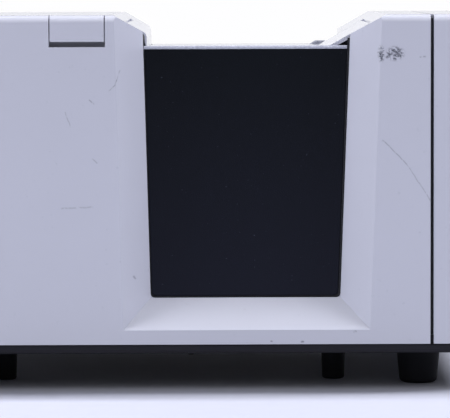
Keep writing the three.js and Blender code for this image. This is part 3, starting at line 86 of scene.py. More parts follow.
camera_data = bpy.data.cameras.new("photograph_camera")
camera_data.lens = LENS
camera_data.sensor_width = SENSOR
camera = bpy.data.objects.new("photograph_camera", camera_data)
bpy.context.scene.collection.objects.link(camera)
aim = (LOOKED_AT - EYE).to_track_quat("-Z", "Y").to_matrix().to_4x4()
camera.matrix_world = Matrix.Translation(EYE) @ aim @ Matrix.Rotation(-ROLL, 4, "Z")
bpy.context.scene.camera = camera
bpy.context.scene.view_settings.view_transform = "Standard"

# Studio
# A pale bench top that turns white away from the case, under a long narrow ceiling light that throws the
# shadow a little forward. The room is dim at eye level, so black parts stay black, with a white sheet
# behind that grazing surfaces mirror. Four soft lamps light the case alone and leave the bench's shadow.
CEILING_PLACE = (0.1, 0.75, 4.5)
CEILING_SIZE = (6.8, 0.36)
CEILING_LEVEL = 0.44
LEFT_HORIZON_LEVEL = 0.30
RIGHT_HORIZON_LEVEL = 0.10
CEILING_STARTS = 0.40
CEILING_FULL = 0.95
SHEET_RISE = 0.16
OVERHEAD_POWER = 252
TOP_POWER = 158
FRONT_POWER = 19
LEFT_POWER = 47
RIGHT_POWER = 45
LAMP_COLOUR = "#fcfcff"
TOP_PLACE, TOP_TARGET, TOP_SIZE = (0.1, 0.45, 4.0), (0.1, 0.1, 0.15), (1.6, 1.6)
FRONT_PLACE, FRONT_TARGET, FRONT_SIZE = (0.1, -2.6, 1.9), (0.0, 0.0, 0.15), (2.0, 2.0)
LEFT_PLACE, RIGHT_PLACE = (-2.2, -0.8, 1.3), (2.2, -0.8, 1.5)
SIDE_TARGET, SIDE_SIZE = (0.1, -0.1, 0.2), (0.9, 1.2)
FLOOR_HALF = 6.0
FLOOR_PALE = "#dcdff2"
FLOOR_MOTTLE = "#e0e3f4"
FADE_START = 0.45
FADE_END = 1.6


def linear(colour):
    """An sRGB hex colour as linear light."""
    channels = [int(colour[i : i + 2], 16) / 255 for i in (1, 3, 5)]
    return [c / 12.92 if c <= 0.04045 else ((c + 0.055) / 1.055) ** 2.4 for c in channels]


def add_node(tree, kind, settings=None, **inputs):
    """One node with its settings, and each input set to a value or linked to sockets or to nodes' results."""
    node = tree.nodes.new(kind)
    for name, value in (settings or {}).items():
        setattr(node, name, value)
    for name, value in inputs.items():
        place = int(name[1:]) if name[0] == "i" and name[1:].isdigit() else name.replace("_", " ")
        socket = node.inputs[place]
        for item in value if isinstance(value, list) else [value]:
            if isinstance(item, bpy.types.Node):
                item = next(result for result in item.outputs if result.enabled)
            if isinstance(item, bpy.types.NodeSocket):
                tree.links.new(item, socket)
            elif isinstance(item, str) and item.startswith("#"):
                socket.default_value = [*linear(item), 1]
            else:
                socket.default_value = item
    return node


def new_material(name):
    """An empty material, its tree, and the place on the object that its patterns read."""
    made = bpy.data.materials.new(name)
    made.use_nodes = True
    tree = made.node_tree
    tree.nodes.clear()
    return made, tree, add_node(tree, "ShaderNodeTexCoord").outputs["Object"]


world = bpy.data.worlds.new("white_surroundings")
bpy.context.scene.world = world
world.use_nodes = True
world.node_tree.nodes.clear()
tree = world.node_tree
seen = add_node(tree, "ShaderNodeLightPath")
direction = add_node(tree, "ShaderNodeTexCoord").outputs["Generated"]
apart = add_node(tree, "ShaderNodeSeparateXYZ", Vector=direction)
horizon = add_node(
    tree, "ShaderNodeMapRange",
    Value=apart.outputs["X"], From_Min=-1.0, To_Min=LEFT_HORIZON_LEVEL, To_Max=RIGHT_HORIZON_LEVEL,
)
ceiling = add_node(
    tree, "ShaderNodeMapRange", {"interpolation_type": "SMOOTHSTEP"},
    Value=apart.outputs["Z"], From_Min=CEILING_STARTS, From_Max=CEILING_FULL,
    To_Min=horizon, To_Max=CEILING_LEVEL,
)
sheet_height = add_node(
    tree, "ShaderNodeMapRange", {"interpolation_type": "SMOOTHSTEP"},
    Value=apart.outputs["Z"], From_Min=SHEET_RISE, From_Max=SHEET_RISE / 2,
)
behind = add_node(
    tree, "ShaderNodeMapRange", {"interpolation_type": "SMOOTHSTEP"}, Value=apart.outputs["Y"], From_Max=0.5,
)
sheet = add_node(tree, "ShaderNodeMath", {"operation": "MULTIPLY"}, i0=sheet_height, i1=behind)
mirrored_sheet = add_node(
    tree, "ShaderNodeMath", {"operation": "MULTIPLY"}, i0=sheet, i1=seen.outputs["Is Glossy Ray"],
)
seen_or_mirrored = add_node(
    tree, "ShaderNodeMath", {"operation": "MAXIMUM"}, i0=seen.outputs["Is Camera Ray"], i1=mirrored_sheet,
)
white_share = add_node(
    tree, "ShaderNodeMath", {"operation": "MAXIMUM"},
    i0=seen_or_mirrored, i1=seen.outputs["Is Transmission Ray"],
)
strength = add_node(tree, "ShaderNodeMix", i0=white_share, i2=ceiling, i3=1.0)
sky = add_node(tree, "ShaderNodeBackground", Color="#fefeff", Strength=strength)
add_node(tree, "ShaderNodeOutputWorld", Surface=sky)


def area_lamp(name, place, target, size, power):
    """A rectangular lamp that shines at a target."""
    data = bpy.data.lights.new(name, "AREA")
    data.shape = "RECTANGLE"
    data.size, data.size_y = size
    data.energy = power
    data.color = linear(LAMP_COLOUR)
    lamp = bpy.data.objects.new(name, data)
    bpy.context.scene.collection.objects.link(lamp)
    lamp.location = place
    lamp.rotation_euler = (Vector(target) - Vector(place)).to_track_quat("-Z", "Y").to_euler()
    return lamp


below_ceiling = (*CEILING_PLACE[:2], 0)
ceiling_light = area_lamp("ceiling_light", CEILING_PLACE, below_ceiling, CEILING_SIZE, OVERHEAD_POWER)
case_lamps = [
    area_lamp("top_softbox", TOP_PLACE, TOP_TARGET, TOP_SIZE, TOP_POWER),
    area_lamp("front_softbox", FRONT_PLACE, FRONT_TARGET, FRONT_SIZE, FRONT_POWER),
    area_lamp("left_softbox", LEFT_PLACE, SIDE_TARGET, SIDE_SIZE, LEFT_POWER),
    area_lamp("right_softbox", RIGHT_PLACE, SIDE_TARGET, SIDE_SIZE, RIGHT_POWER),
]

# Melamine laminate: matt, pale lilac near the case, and plain white where it runs out of sight
floor_material, tree, place = new_material("pale_bench_laminate")
flat = add_node(tree, "ShaderNodeVectorMath", {"operation": "LENGTH"}, i0=place)
fade = add_node(
    tree, "ShaderNodeMapRange", {"interpolation_type": "SMOOTHSTEP"},
    Value=flat, From_Min=FADE_START, From_Max=FADE_END,
)
mottle = add_node(tree, "ShaderNodeTexNoise", Vector=place, Scale=60.0)
tint = add_node(
    tree, "ShaderNodeMix", {"data_type": "RGBA"}, Factor=mottle, i6=FLOOR_PALE, i7=FLOOR_MOTTLE,
)
matt = add_node(tree, "ShaderNodeBsdfPrincipled", Base_Color=tint, Roughness=0.75, IOR=1.45)
ray = add_node(tree, "ShaderNodeLightPath")
white = add_node(tree, "ShaderNodeEmission", Color="#ffffff", Strength=1.0)
far_and_seen = add_node(
    tree, "ShaderNodeMath", {"operation": "MULTIPLY"}, i0=fade, i1=ray.outputs["Is Camera Ray"],
)
surface = add_node(tree, "ShaderNodeMixShader", i0=far_and_seen, i1=matt, i2=white)
add_node(tree, "ShaderNodeOutputMaterial", Surface=surface)

floor_mesh = bpy.data.meshes.new("bench_top")
floor_mesh.from_pydata(
    [(x * FLOOR_HALF, y * FLOOR_HALF, 0) for x, y in ((-1, -1), (1, -1), (1, 1), (-1, 1))], [], [(0, 1, 2, 3)]
)
floor_mesh.materials.append(floor_material)
floor = bpy.data.objects.new("bench_top", floor_mesh)
bpy.context.scene.collection.objects.link(floor)

lit_bench = bpy.data.collections.new("bench_under_the_ceiling_light")
lit_bench.objects.link(floor)
ceiling_light.light_linking.receiver_collection = lit_bench
unlit_bench = bpy.data.collections.new("bench_left_out_of_the_case_lamps")
unlit_bench.objects.link(floor)
unlit_bench.collection_objects[0].light_linking.link_state = "EXCLUDE"
for lamp in case_lamps:
    lamp.light_linking.receiver_collection = unlit_bench
    lamp.visible_camera = False
    lamp.visible_glossy = False

# Base pan
# The deep steel pan that everything stands in, pressed and powder coated black. It shows in front as a dark
# strip below the cover, with a rolled lower edge, and from below with the screws that hold the bench.
PAN_EDGE = 0.8 * MM
POWDER_GRAIN = 0.9 * MM
ROLL_RADIUS = 0.75 * MM
ROLL_CORNER = 3 * MM
# Corners nearer than this are one, and sides shorter than this are none
WELD_WITHIN = 0.002 * MM
SLIVER_UNDER = 0.001 * MM
# Faces that meet at less than this are one, edges over the next are broken, and over the last are sharp
FLAT_WITHIN = math.radians(0.4)
BREAK_OVER = math.radians(25)
SHARP_OVER = math.radians(34)


def surfaced(tree, colour, relief=None, **inputs):
    """Ends a material: its colour, or a share and two to mix, its relief, and the shader of its surface.

    A relief is the pattern that raises it, its strength and its height.
    """
    if isinstance(colour, tuple):
        share, first, second = colour
        colour = add_node(tree, "ShaderNodeMix", {"data_type": "RGBA"}, Factor=share, i6=first, i7=second)
    if relief:
        pattern, strength, height = relief
        inputs["Normal"] = add_node(
            tree, "ShaderNodeBump", Strength=strength, Distance=height, Height=pattern,
        )
    surface = add_node(tree, "ShaderNodeBsdfPrincipled", Base_Color=colour, **inputs)
    add_node(tree, "ShaderNodeOutputMaterial", Surface=surface)


# Black powder coat: baked plastic dust that levels to a fine satin orange peel, a little blue in this light
powder_coat, tree, place = new_material("black_powder_coat")
grain = add_node(
    tree, "ShaderNodeTexNoise", Vector=place, Scale=1 / POWDER_GRAIN, Detail=3.0, Roughness=0.6,
)
dust = add_node(tree, "ShaderNodeTexNoise", Vector=place, Scale=14.0, Detail=5.0, Roughness=0.7)
satin = add_node(tree, "ShaderNodeMapRange", Value=dust, To_Min=0.42, To_Max=0.6)
surfaced(
    tree, (dust, "#13131a", "#1c1c24"), (grain, 0.3, 0.07 * MM),
    Roughness=satin, IOR=1.5, Specular_IOR_Level=0.3,
)


def merged(node):
    """A closed mesh of a solid, its loose triangles merged and its flat faces made whole."""
    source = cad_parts[node].data
    loose = bpy.data.meshes.new(node + "_sheet")
    loose.from_pydata(
        [v.co[:] for v in source.vertices], [], [tuple(face.vertices) for face in source.polygons]
    )
    shape = bmesh.new()
    shape.from_mesh(loose)
    bmesh.ops.remove_doubles(shape, verts=shape.verts, dist=WELD_WITHIN)
    bmesh.ops.dissolve_degenerate(shape, edges=shape.edges, dist=SLIVER_UNDER)
    bmesh.ops.dissolve_limit(shape, angle_limit=FLAT_WITHIN, verts=shape.verts, edges=shape.edges)
    shape.to_mesh(loose)
    shape.free()
    return loose


def new_piece(name, mesh, *materials):
    """A mesh as an object of the scene, with its materials in order."""
    piece = bpy.data.objects.new(name, mesh)
    bpy.context.scene.collection.objects.link(piece)
    for material in materials:
        mesh.materials.append(material)
    return piece


def baked(piece):
    """The piece with its modifiers made real."""
    bpy.context.view_layer.update()
    evaluated = piece.evaluated_get(bpy.context.evaluated_depsgraph_get())
    mesh = bpy.data.meshes.new_from_object(evaluated)
    old = piece.data
    piece.modifiers.clear()
    piece.data = mesh
    bpy.data.meshes.remove(old)
    return piece


def smoothed(piece, sharp_over=SHARP_OVER):
    """The piece shaded smooth, apart from its sharp edges."""
    piece.data.polygons.foreach_set("use_smooth", [True] * len(piece.data.polygons))
    piece.data.set_sharp_from_angle(angle=sharp_over)


def finished(piece):
    """The piece made real, its flat faces shaded flat and its rounds smooth."""
    smoothed(baked(piece))
    even = piece.modifiers.new("even_shading", "WEIGHTED_NORMAL")
    even.keep_sharp = True
    even.weight = 100
    return baked(piece)


def cut_out(piece, *cutters):
    """The piece with holes where the cutters are, which are used up."""
    for cutter in cutters:
        hole = piece.modifiers.new("hole", "BOOLEAN")
        hole.object = cutter
        hole.operation = "DIFFERENCE"
        hole.solver = "EXACT"
        baked(piece)
        bpy.data.objects.remove(cutter)
    return piece


def dressed(node, body, material, edge, steps=2, cutters=()):
    """A solid's shape with its edges broken, as real sheet and machined edges are."""
    piece = new_piece(node + "_finished", merged(node), material)
    cut_out(piece, *cutters)
    bevel = piece.modifiers.new("broken_edges", "BEVEL")
    bevel.width = edge
    bevel.segments = steps
    bevel.limit_method = "ANGLE"
    bevel.angle_limit = BREAK_OVER
    bevel.use_clamp_overlap = True
    bevel.miter_outer = "MITER_ARC"
    finished(piece)
    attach(piece, body)
    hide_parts(node)
    return piece


def corner(radius, height, size, start, end, steps=5):
    """The points of a round corner in a profile, about a middle, between two angles in degrees."""
    angles = [math.radians(start + (end - start) * i / steps) for i in range(steps + 1)]
    return [(radius + size * math.cos(a), height + size * math.sin(a)) for a in angles]


def wire(name, points, radius, material, body, closed=False):
    """A round wire or bead along a path of points, as a plain mesh."""
    path = bpy.data.curves.new(name + "_path", "CURVE")
    path.dimensions = "3D"
    path.bevel_depth = radius
    path.bevel_resolution = 2
    path.use_fill_caps = True
    run = path.splines.new("POLY")
    run.points.add(len(points) - 1)
    run.use_cyclic_u = closed
    for place, point in zip(run.points, points):
        place.co = (*point, 1)
    drawn = bpy.data.objects.new(name + "_path", path)
    bpy.context.scene.collection.objects.link(drawn)
    bpy.context.view_layer.update()
    mesh = bpy.data.meshes.new_from_object(drawn.evaluated_get(bpy.context.evaluated_depsgraph_get()))
    bpy.data.objects.remove(drawn)
    piece = new_piece(name, mesh, material)
    piece.data.polygons.foreach_set("use_smooth", [True] * len(piece.data.polygons))
    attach(piece, body)
    return piece


dressed("base_pan", "case", powder_coat, PAN_EDGE)
pan_low, pan_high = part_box("base_pan")
roll_path = []
for x, y, start in (
    (pan_high.x - ROLL_CORNER, pan_low.y + ROLL_CORNER, -90),
    (pan_high.x - ROLL_CORNER, pan_high.y - ROLL_CORNER, 0),
    (pan_low.x + ROLL_CORNER, pan_high.y - ROLL_CORNER, 90),
    (pan_low.x + ROLL_CORNER, pan_low.y + ROLL_CORNER, 180),
):
    roll_path += [(*point, pan_low.z + ROLL_RADIUS) for point in corner(x, y, ROLL_CORNER, start, start + 90)]
wire("base_pan_rolled_edge", roll_path, ROLL_RADIUS, powder_coat, "case", closed=True)

# Feet
# Six black rubber feet, moulded with a drafted side and a soft lower edge, each on a screw through the pan:
# four wide ones near the corners and two slim ones in front between them.
ROUND_SIDES = 96
FOOT_EDGE_STEPS = 6
FOOT_EDGE_SHARE = 0.22
FOOT_RIB = 0.35 * MM
SCREW_WELL = 5.5 * MM
WELL_DEPTH = 9 * MM

# Nitrile rubber, moulded: dull black with a faint bloom and a fine matt skin
rubber, tree, place = new_material("moulded_nitrile_rubber")
bloom = add_node(tree, "ShaderNodeTexNoise", Vector=place, Scale=45.0, Detail=5.0, Roughness=0.7)
skin = add_node(tree, "ShaderNodeTexNoise", Vector=place, Scale=1400.0, Detail=2.0)
surfaced(
    tree, (bloom, "#090a0e", "#121318"), (skin, 0.3, 0.05 * MM),
    Roughness=0.78, IOR=1.52, Specular_IOR_Level=0.25,
)


def turned(name, profile, centre, axis, material, body):
    """A round piece: its profile of radius and height pairs, from axis to axis, turned about an axis."""
    turn = Vector((0, 0, 1)).rotation_difference(Vector(axis)).to_matrix().to_4x4()
    angles = [2 * math.pi * i / ROUND_SIDES for i in range(ROUND_SIDES)]
    shape = bmesh.new()
    rings = []
    for radius, height in profile:
        if radius == 0:
            rings.append([shape.verts.new((0, 0, height))])
            continue
        rings.append([shape.verts.new((radius * math.cos(a), radius * math.sin(a), height)) for a in angles])
    for low, high in zip(rings, rings[1:]):
        for i in range(ROUND_SIDES):
            j = (i + 1) % ROUND_SIDES
            corners = [low[i % len(low)], low[j % len(low)], high[j % len(high)], high[i % len(high)]]
            shape.faces.new(list(dict.fromkeys(corners)))
    bmesh.ops.recalc_face_normals(shape, faces=shape.faces)
    mesh = bpy.data.meshes.new(name)
    shape.to_mesh(mesh)
    shape.free()
    mesh.transform(Matrix.Translation(Vector(centre)) @ turn)
    piece = new_piece(name, mesh, material)
    smoothed(piece)
    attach(piece, body)
    return piece


def span(node):
    """The low corner, high corner and middle of a solid's box."""
    low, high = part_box(node)
    return low, high, (low + high) / 2


def foot(node, draft):
    """A drafted foot with a round lower edge and a well for its screw."""
    low, high, middle = span(node)
    top_radius = (high.x - low.x) / 2
    height = high.z - low.z
    bottom_radius = top_radius - draft
    edge = FOOT_EDGE_SHARE * top_radius
    profile = [(0, height), (top_radius - FOOT_RIB, height), (top_radius, height - FOOT_RIB)]
    profile += corner(bottom_radius - edge, edge, edge, 0, -90, FOOT_EDGE_STEPS)
    profile += [(SCREW_WELL, 0), (SCREW_WELL, WELL_DEPTH), (0, WELL_DEPTH)]
    centre = (middle.x, middle.y, low.z)
    piece = turned(node + "_rubber", profile, centre, (0, 0, 1), rubber, "case")
    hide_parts(node)


# How much each foot's radius shrinks towards the floor
WIDE_DRAFT, SLIM_DRAFT = 2.2 * MM, 0.8 * MM
FOOT_DRAFTS = {
    "foot_front_left": WIDE_DRAFT, "foot_front_right": WIDE_DRAFT, "foot_rear_left": WIDE_DRAFT,
    "foot_rear_right": WIDE_DRAFT, "slim_foot_left": SLIM_DRAFT, "slim_foot_right": SLIM_DRAFT,
}
for node, draft in FOOT_DRAFTS.items():
    foot(node, draft)

# Optics bench and stands
# The bench plate, the sphere's upright and the spectrometer's stand, all milled from aluminium plate and
# bolted together. They hold the light path in line, whatever the sheet metal round them does.
MILLED_EDGE = 0.4 * MM
MILL_PITCH = 0.8 * MM

# Milled aluminium: bright grey metal with fine cutter lines and a slightly uneven shine
aluminium, tree, place = new_material("milled_aluminium")
stretched = add_node(tree, "ShaderNodeMapping", Vector=place, Scale=(0.08, 1, 1))
cutter = add_node(tree, "ShaderNodeTexNoise", Vector=stretched, Scale=1 / MILL_PITCH, Detail=2.0)
handled = add_node(tree, "ShaderNodeTexNoise", Vector=place, Scale=18.0, Detail=4.0)
shine = add_node(tree, "ShaderNodeMapRange", Value=cutter, To_Min=0.28, To_Max=0.46)
surfaced(tree, (handled, "#c9cbce", "#b4b7bc"), (cutter, 0.25, 0.05 * MM), Metallic=1.0, Roughness=shine)

for milled in ("optics_bench", "sphere_stand", "spectrometer_stand"):
    dressed(milled, "case", aluminium, MILLED_EDGE)

# Integrating sphere
# Two spun aluminium halves bolted at their flanges, with a tube to the port. Inside they are coated thickly
# with white barium sulphate, which scatters light evenly; the outside is left as spun metal.
SPUN_EDGE = 0.3 * MM

# Barium sulphate coating: sprayed, chalk white and perfectly matt, with the grain of dried powder
white_coating, tree, place = new_material("barium_sulphate_coating")
powder = add_node(tree, "ShaderNodeTexNoise", Vector=place, Scale=800.0, Detail=3.0)
surfaced(tree, (powder, "#f0f0ec", "#e4e4df"), (powder, 0.35, 0.08 * MM), Roughness=0.95, IOR=1.45)

# Spun aluminium: the spinner's tool leaves fine rings across the light path's axis
spun_metal, tree, place = new_material("spun_aluminium")
rings_place = add_node(tree, "ShaderNodeMapping", Vector=place, Scale=(1, 0.02, 0.02))
spin_rings = add_node(tree, "ShaderNodeTexNoise", Vector=rings_place, Scale=900.0, Detail=2.0)
spun_shine = add_node(tree, "ShaderNodeMapRange", Value=spin_rings, To_Min=0.3, To_Max=0.5)
surfaced(tree, "#bfc2c6", (spin_rings, 0.3, 0.05 * MM), Metallic=1.0, Roughness=spun_shine)

_, sphere_high, sphere_middle = span("sphere_port_half")
# The halves meet at the first one's right end
sphere_middle.x = sphere_high.x
for half in ("sphere_port_half", "sphere_lens_half"):
    piece = dressed(half, "case", white_coating, SPUN_EDGE)
    piece.data.materials.append(spun_metal)
    for face in piece.data.polygons:
        outward = (face.center - sphere_middle).dot(face.normal) > 0
        face.material_index = 1 if outward else 0
dressed("port_tube", "case", white_coating, SPUN_EDGE)
dressed("specular_plug", "plug", white_coating, SPUN_EDGE)

# Pins and rails
# The hinge pins, the plug's pivot and the holder's two rails, all ground from stainless rod and bar.
ROD_EDGE = 0.25 * MM

# Ground stainless steel: bright, slightly warm, with lines round and along it from the grinding belt
steel, tree, place = new_material("ground_stainless_steel")
drawn_out = add_node(tree, "ShaderNodeMapping", Vector=place, Scale=(0.05, 1, 1))
belt = add_node(tree, "ShaderNodeTexNoise", Vector=drawn_out, Scale=1800.0, Detail=2.0)
belt_shine = add_node(tree, "ShaderNodeMapRange", Value=belt, To_Min=0.18, To_Max=0.36)
surfaced(tree, "#cdcbc8", (belt, 0.2, 0.03 * MM), Metallic=1.0, Roughness=belt_shine)

for rod in ("hatch_hinge_pin", "lid_hinge_pin", "plug_pivot_pin", "front_rail", "back_rail"):
    dressed(rod, "case", steel, ROD_EDGE)

# Flash lamp
# A xenon flash tube over a blackened neck that leads its light into the sphere. The ultraviolet filter
# slides between them in a blackened frame.
dressed("lamp_neck", "case", powder_coat, ROD_EDGE)
dressed("uv_filter_slide", "filter", powder_coat, ROD_EDGE)

# Borosilicate glass: clear and faintly green in its depth, polished
clear_glass, tree, place = new_material("polished_borosilicate_glass")
wipe = add_node(tree, "ShaderNodeTexNoise", Vector=place, Scale=60.0, Detail=3.0)
wiped = add_node(
    tree, "ShaderNodeMapRange", Value=wipe, From_Min=0.4, From_Max=0.8, To_Min=0.01, To_Max=0.08,
)
surfaced(tree, "#eef5f1", Roughness=wiped, IOR=1.474, Transmission_Weight=1.0)

# Filter glass: the same, but yellowed through by the metal oxide that stops ultraviolet
filter_glass, tree, place = new_material("ultraviolet_filter_glass")
melt = add_node(tree, "ShaderNodeTexNoise", Vector=place, Scale=70.0, Detail=2.0)
surfaced(tree, (melt, "#f6f0b4", "#f2eaa6"), Roughness=0.02, IOR=1.52, Transmission_Weight=1.0)

dressed("uv_filter_glass", "filter", filter_glass, ROD_EDGE)
dressed("xenon_lamp", "case", clear_glass, ROD_EDGE)

# Beam path
# The tube from the sphere, the ring at the tray's window, and the lens in its threaded barrel, all
# turned and blackened so that no stray light reaches the slit.
for blackened in ("beam_tube", "window_ring", "lens_barrel", "slit_plate"):
    dressed(blackened, "case", powder_coat, ROD_EDGE)
LENS_EDGE = 0.15 * MM
dressed("objective_lens", "case", clear_glass, LENS_EDGE)

# Spectrometer
# A light-tight cast case with a lid, the ruled grating on its foot, and the detector's small board.
CAST_EDGE = 0.6 * MM
for cast in ("spectrometer_case", "spectrometer_lid"):
    dressed(cast, "case", aluminium, CAST_EDGE)
dressed("grating", "case", spun_metal, ROD_EDGE)

# Boards
# The main board on the bench and the detector's board: glass fibre with a green solder mask. Black
# packages of many sizes stand in rows on the main board.
BOARD_EDGE = 0.15 * MM
TRACK_PITCH = 3.2 * MM
CHIP_SIZES = (9 * MM, 6 * MM, 1.8 * MM)
CHIP_PITCH = (16 * MM, 13 * MM)
CHIP_MARGIN = 9 * MM
BOARD_THICKNESS = 1.6 * MM
BOARD_SEED = 11

# Solder mask on glass fibre: glossy dark green over copper tracks that show paler and stand up a little
solder_mask, tree, place = new_material("green_solder_mask")
tracks = add_node(
    tree, "ShaderNodeTexVoronoi", {"feature": "DISTANCE_TO_EDGE"},
    Vector=place, Scale=1 / TRACK_PITCH, Randomness=0.35,
)
track = add_node(tree, "ShaderNodeMapRange", Value=tracks, From_Min=0.10, From_Max=0.07)
surfaced(tree, (track, "#0c4a2c", "#2a7548"), (track, 0.4, 0.05 * MM), Roughness=0.3, IOR=1.5)

# Moulded plastic: near black glass-filled nylon or polycarbonate with a fine spark-eroded skin
dark_plastic, tree, place = new_material("moulded_polycarbonate")
eroded = add_node(tree, "ShaderNodeTexNoise", Vector=place, Scale=1600.0, Detail=2.0)
flow = add_node(tree, "ShaderNodeTexNoise", Vector=place, Scale=30.0, Detail=3.0)
surfaced(tree, (flow, "#1b1c21", "#26272d"), (eroded, 0.3, 0.04 * MM), Roughness=0.46, IOR=1.58)

dressed("main_board", "case", solder_mask, BOARD_EDGE)
dressed("detector_board", "case", solder_mask, BOARD_EDGE)


def rule(name, family="Geometry", result="Geometry", **kinds):
    """An empty tree with one result and named inputs of several kinds, and their sockets inside it."""
    tree = bpy.data.node_groups.new(name, family + "NodeTree")
    for kind, labels in kinds.items():
        for label in labels:
            tree.interface.new_socket(label, in_out="INPUT", socket_type="NodeSocket" + kind)
    result_kind = "NodeSocketGeometry" if family == "Geometry" else "NodeSocketFloat"
    tree.interface.new_socket(result, in_out="OUTPUT", socket_type=result_kind)
    return tree, add_node(tree, "NodeGroupInput").outputs


def ended(tree, geometry, material):
    """Ends a tree: its copies made real and given their material."""
    real = add_node(tree, "GeometryNodeRealizeInstances", Geometry=geometry)
    coloured = add_node(tree, "GeometryNodeSetMaterial", Geometry=real, Material=material)
    add_node(tree, "NodeGroupOutput", Geometry=coloured)


def by_rule(name, tree, sizes, places=()):
    """The plain mesh that a tree makes of the given sizes, at the given places."""
    start = bpy.data.meshes.new(name)
    start.from_pydata([tuple(spot) for spot in places], [], [])
    piece = new_piece(name, start)
    growth = piece.modifiers.new("rule", "NODES")
    growth.node_group = tree
    for item in tree.interface.items_tree:
        if item.in_out == "INPUT" and item.name in sizes:
            growth[item.identifier] = sizes[item.name]
    return baked(piece)


def grown(name, tree, sizes, body, places=()):
    """A piece made by a tree, riding on a body."""
    piece = by_rule(name, tree, sizes, places)
    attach(piece, body)
    return piece


chip_rows, given = rule(
    "chip_rows", Geometry=["Geometry"], Float=["Length", "Width", "Height", "Pitch Along", "Pitch Across"],
    Int=["Rows Along", "Rows Across", "Seed"], Vector=["Middle"], Material=["Material"],
)
span_along = add_node(
    chip_rows, "ShaderNodeMath", {"operation": "MULTIPLY"},
    i0=given["Pitch Along"], i1=given["Rows Along"],
)
span_across = add_node(
    chip_rows, "ShaderNodeMath", {"operation": "MULTIPLY"},
    i0=given["Pitch Across"], i1=given["Rows Across"],
)
spots = add_node(
    chip_rows, "GeometryNodeMeshGrid", i0=span_along, i1=span_across,
    i2=given["Rows Along"], i3=given["Rows Across"],
)
moved = add_node(chip_rows, "GeometryNodeTransform", Geometry=spots, Translation=given["Middle"])
chip_size = add_node(
    chip_rows, "ShaderNodeCombineXYZ", X=given["Length"], Y=given["Width"], Z=given["Height"],
)
chip = add_node(chip_rows, "GeometryNodeMeshCube", Size=chip_size)
grow_share = add_node(
    chip_rows, "FunctionNodeRandomValue", {"data_type": "FLOAT_VECTOR"},
    i0=(0.45, 0.5, 0.9), i1=(1.25, 1.3, 1.0), Seed=given["Seed"],
)
set_out = add_node(
    chip_rows, "GeometryNodeInstanceOnPoints", Points=moved, Instance=chip, Scale=grow_share,
)
ended(chip_rows, set_out, given["Material"])

board_low, board_high, chips_middle = span("main_board")
chips_middle.z = board_low.z + BOARD_THICKNESS + CHIP_SIZES[2] / 2
rows_along = int((board_high.x - board_low.x - 2 * CHIP_MARGIN) / CHIP_PITCH[0])
rows_across = int((board_high.y - board_low.y - 2 * CHIP_MARGIN) / CHIP_PITCH[1])
package_sizes = {
    "Length": CHIP_SIZES[0], "Width": CHIP_SIZES[1], "Height": CHIP_SIZES[2],
    "Pitch Along": CHIP_PITCH[0], "Pitch Across": CHIP_PITCH[1],
    "Rows Along": rows_along, "Rows Across": rows_across,
    "Middle": chips_middle, "Seed": BOARD_SEED, "Material": dark_plastic,
}
grown("board_packages", chip_rows, package_sizes, "case")

# Power supply
# A supply in a cage of folded aluminium with cooling slots in its front and back, screwed to the pan behind
# the sphere.
FOLDED_EDGE = 0.3 * MM
SLOT_CORNERS = 6
# Corner radius over width: a hair under a half, so that a slot's ends stay round and its corners apart
ROUND_END_SHARE = 0.499
# Length, width and pitch upwards of a slot
SUPPLY_SLOT = (10 * MM, 2.6 * MM, 6.5 * MM)
SUPPLY_COLUMNS = 7
SUPPLY_ROWS = 8
SUPPLY_POCKET = 1.2 * MM
PUNCH_OVERRUN = 2 * MM

slot_rows, given = rule(
    "slot_rows", Geometry=["Geometry"],
    Float=["Slot Length", "Slot Width", "Depth", "Pitch Along", "Pitch Up"],
    Int=["Columns", "Rows", "Corner Sides"], Vector=["Middle"], Material=["Material"],
)
along = add_node(slot_rows, "ShaderNodeMath", {"operation": "SUBTRACT"}, i0=given["Columns"], i1=1.0)
up = add_node(slot_rows, "ShaderNodeMath", {"operation": "SUBTRACT"}, i0=given["Rows"], i1=1.0)
field_length = add_node(
    slot_rows, "ShaderNodeMath", {"operation": "MULTIPLY"}, i0=along, i1=given["Pitch Along"],
)
field_height = add_node(
    slot_rows, "ShaderNodeMath", {"operation": "MULTIPLY"}, i0=up, i1=given["Pitch Up"],
)
spots = add_node(
    slot_rows, "GeometryNodeMeshGrid", i0=field_length, i1=field_height,
    i2=given["Columns"], i3=given["Rows"],
)
stood = add_node(
    slot_rows, "GeometryNodeTransform",
    Geometry=spots, Translation=given["Middle"], Rotation=(math.pi / 2, 0, 0),
)
outline = add_node(
    slot_rows, "GeometryNodeCurvePrimitiveQuadrilateral",
    Width=given["Slot Length"], Height=given["Slot Width"],
)
half_width = add_node(
    slot_rows, "ShaderNodeMath", {"operation": "MULTIPLY"}, i0=given["Slot Width"], i1=ROUND_END_SHARE,
)
rounded = add_node(
    slot_rows, "GeometryNodeFilletCurve", {"mode": "POLY"},
    Curve=outline, Count=given["Corner Sides"], Radius=half_width,
)
punch_face = add_node(slot_rows, "GeometryNodeFillCurve", {"mode": "NGONS"}, Curve=rounded)
punch = add_node(slot_rows, "GeometryNodeExtrudeMesh", Mesh=punch_face, Offset_Scale=given["Depth"])
under = add_node(slot_rows, "GeometryNodeFlipFaces", Mesh=punch_face)
closed = add_node(slot_rows, "GeometryNodeJoinGeometry", Geometry=[punch, under])
welded = add_node(slot_rows, "GeometryNodeMergeByDistance", Geometry=closed, Distance=0.01 * MM)
turned_up = add_node(slot_rows, "GeometryNodeTransform", Geometry=welded, Rotation=(math.pi / 2, 0, 0))
set_out = add_node(slot_rows, "GeometryNodeInstanceOnPoints", Points=stood, Instance=turned_up)
ended(slot_rows, set_out, given["Material"])


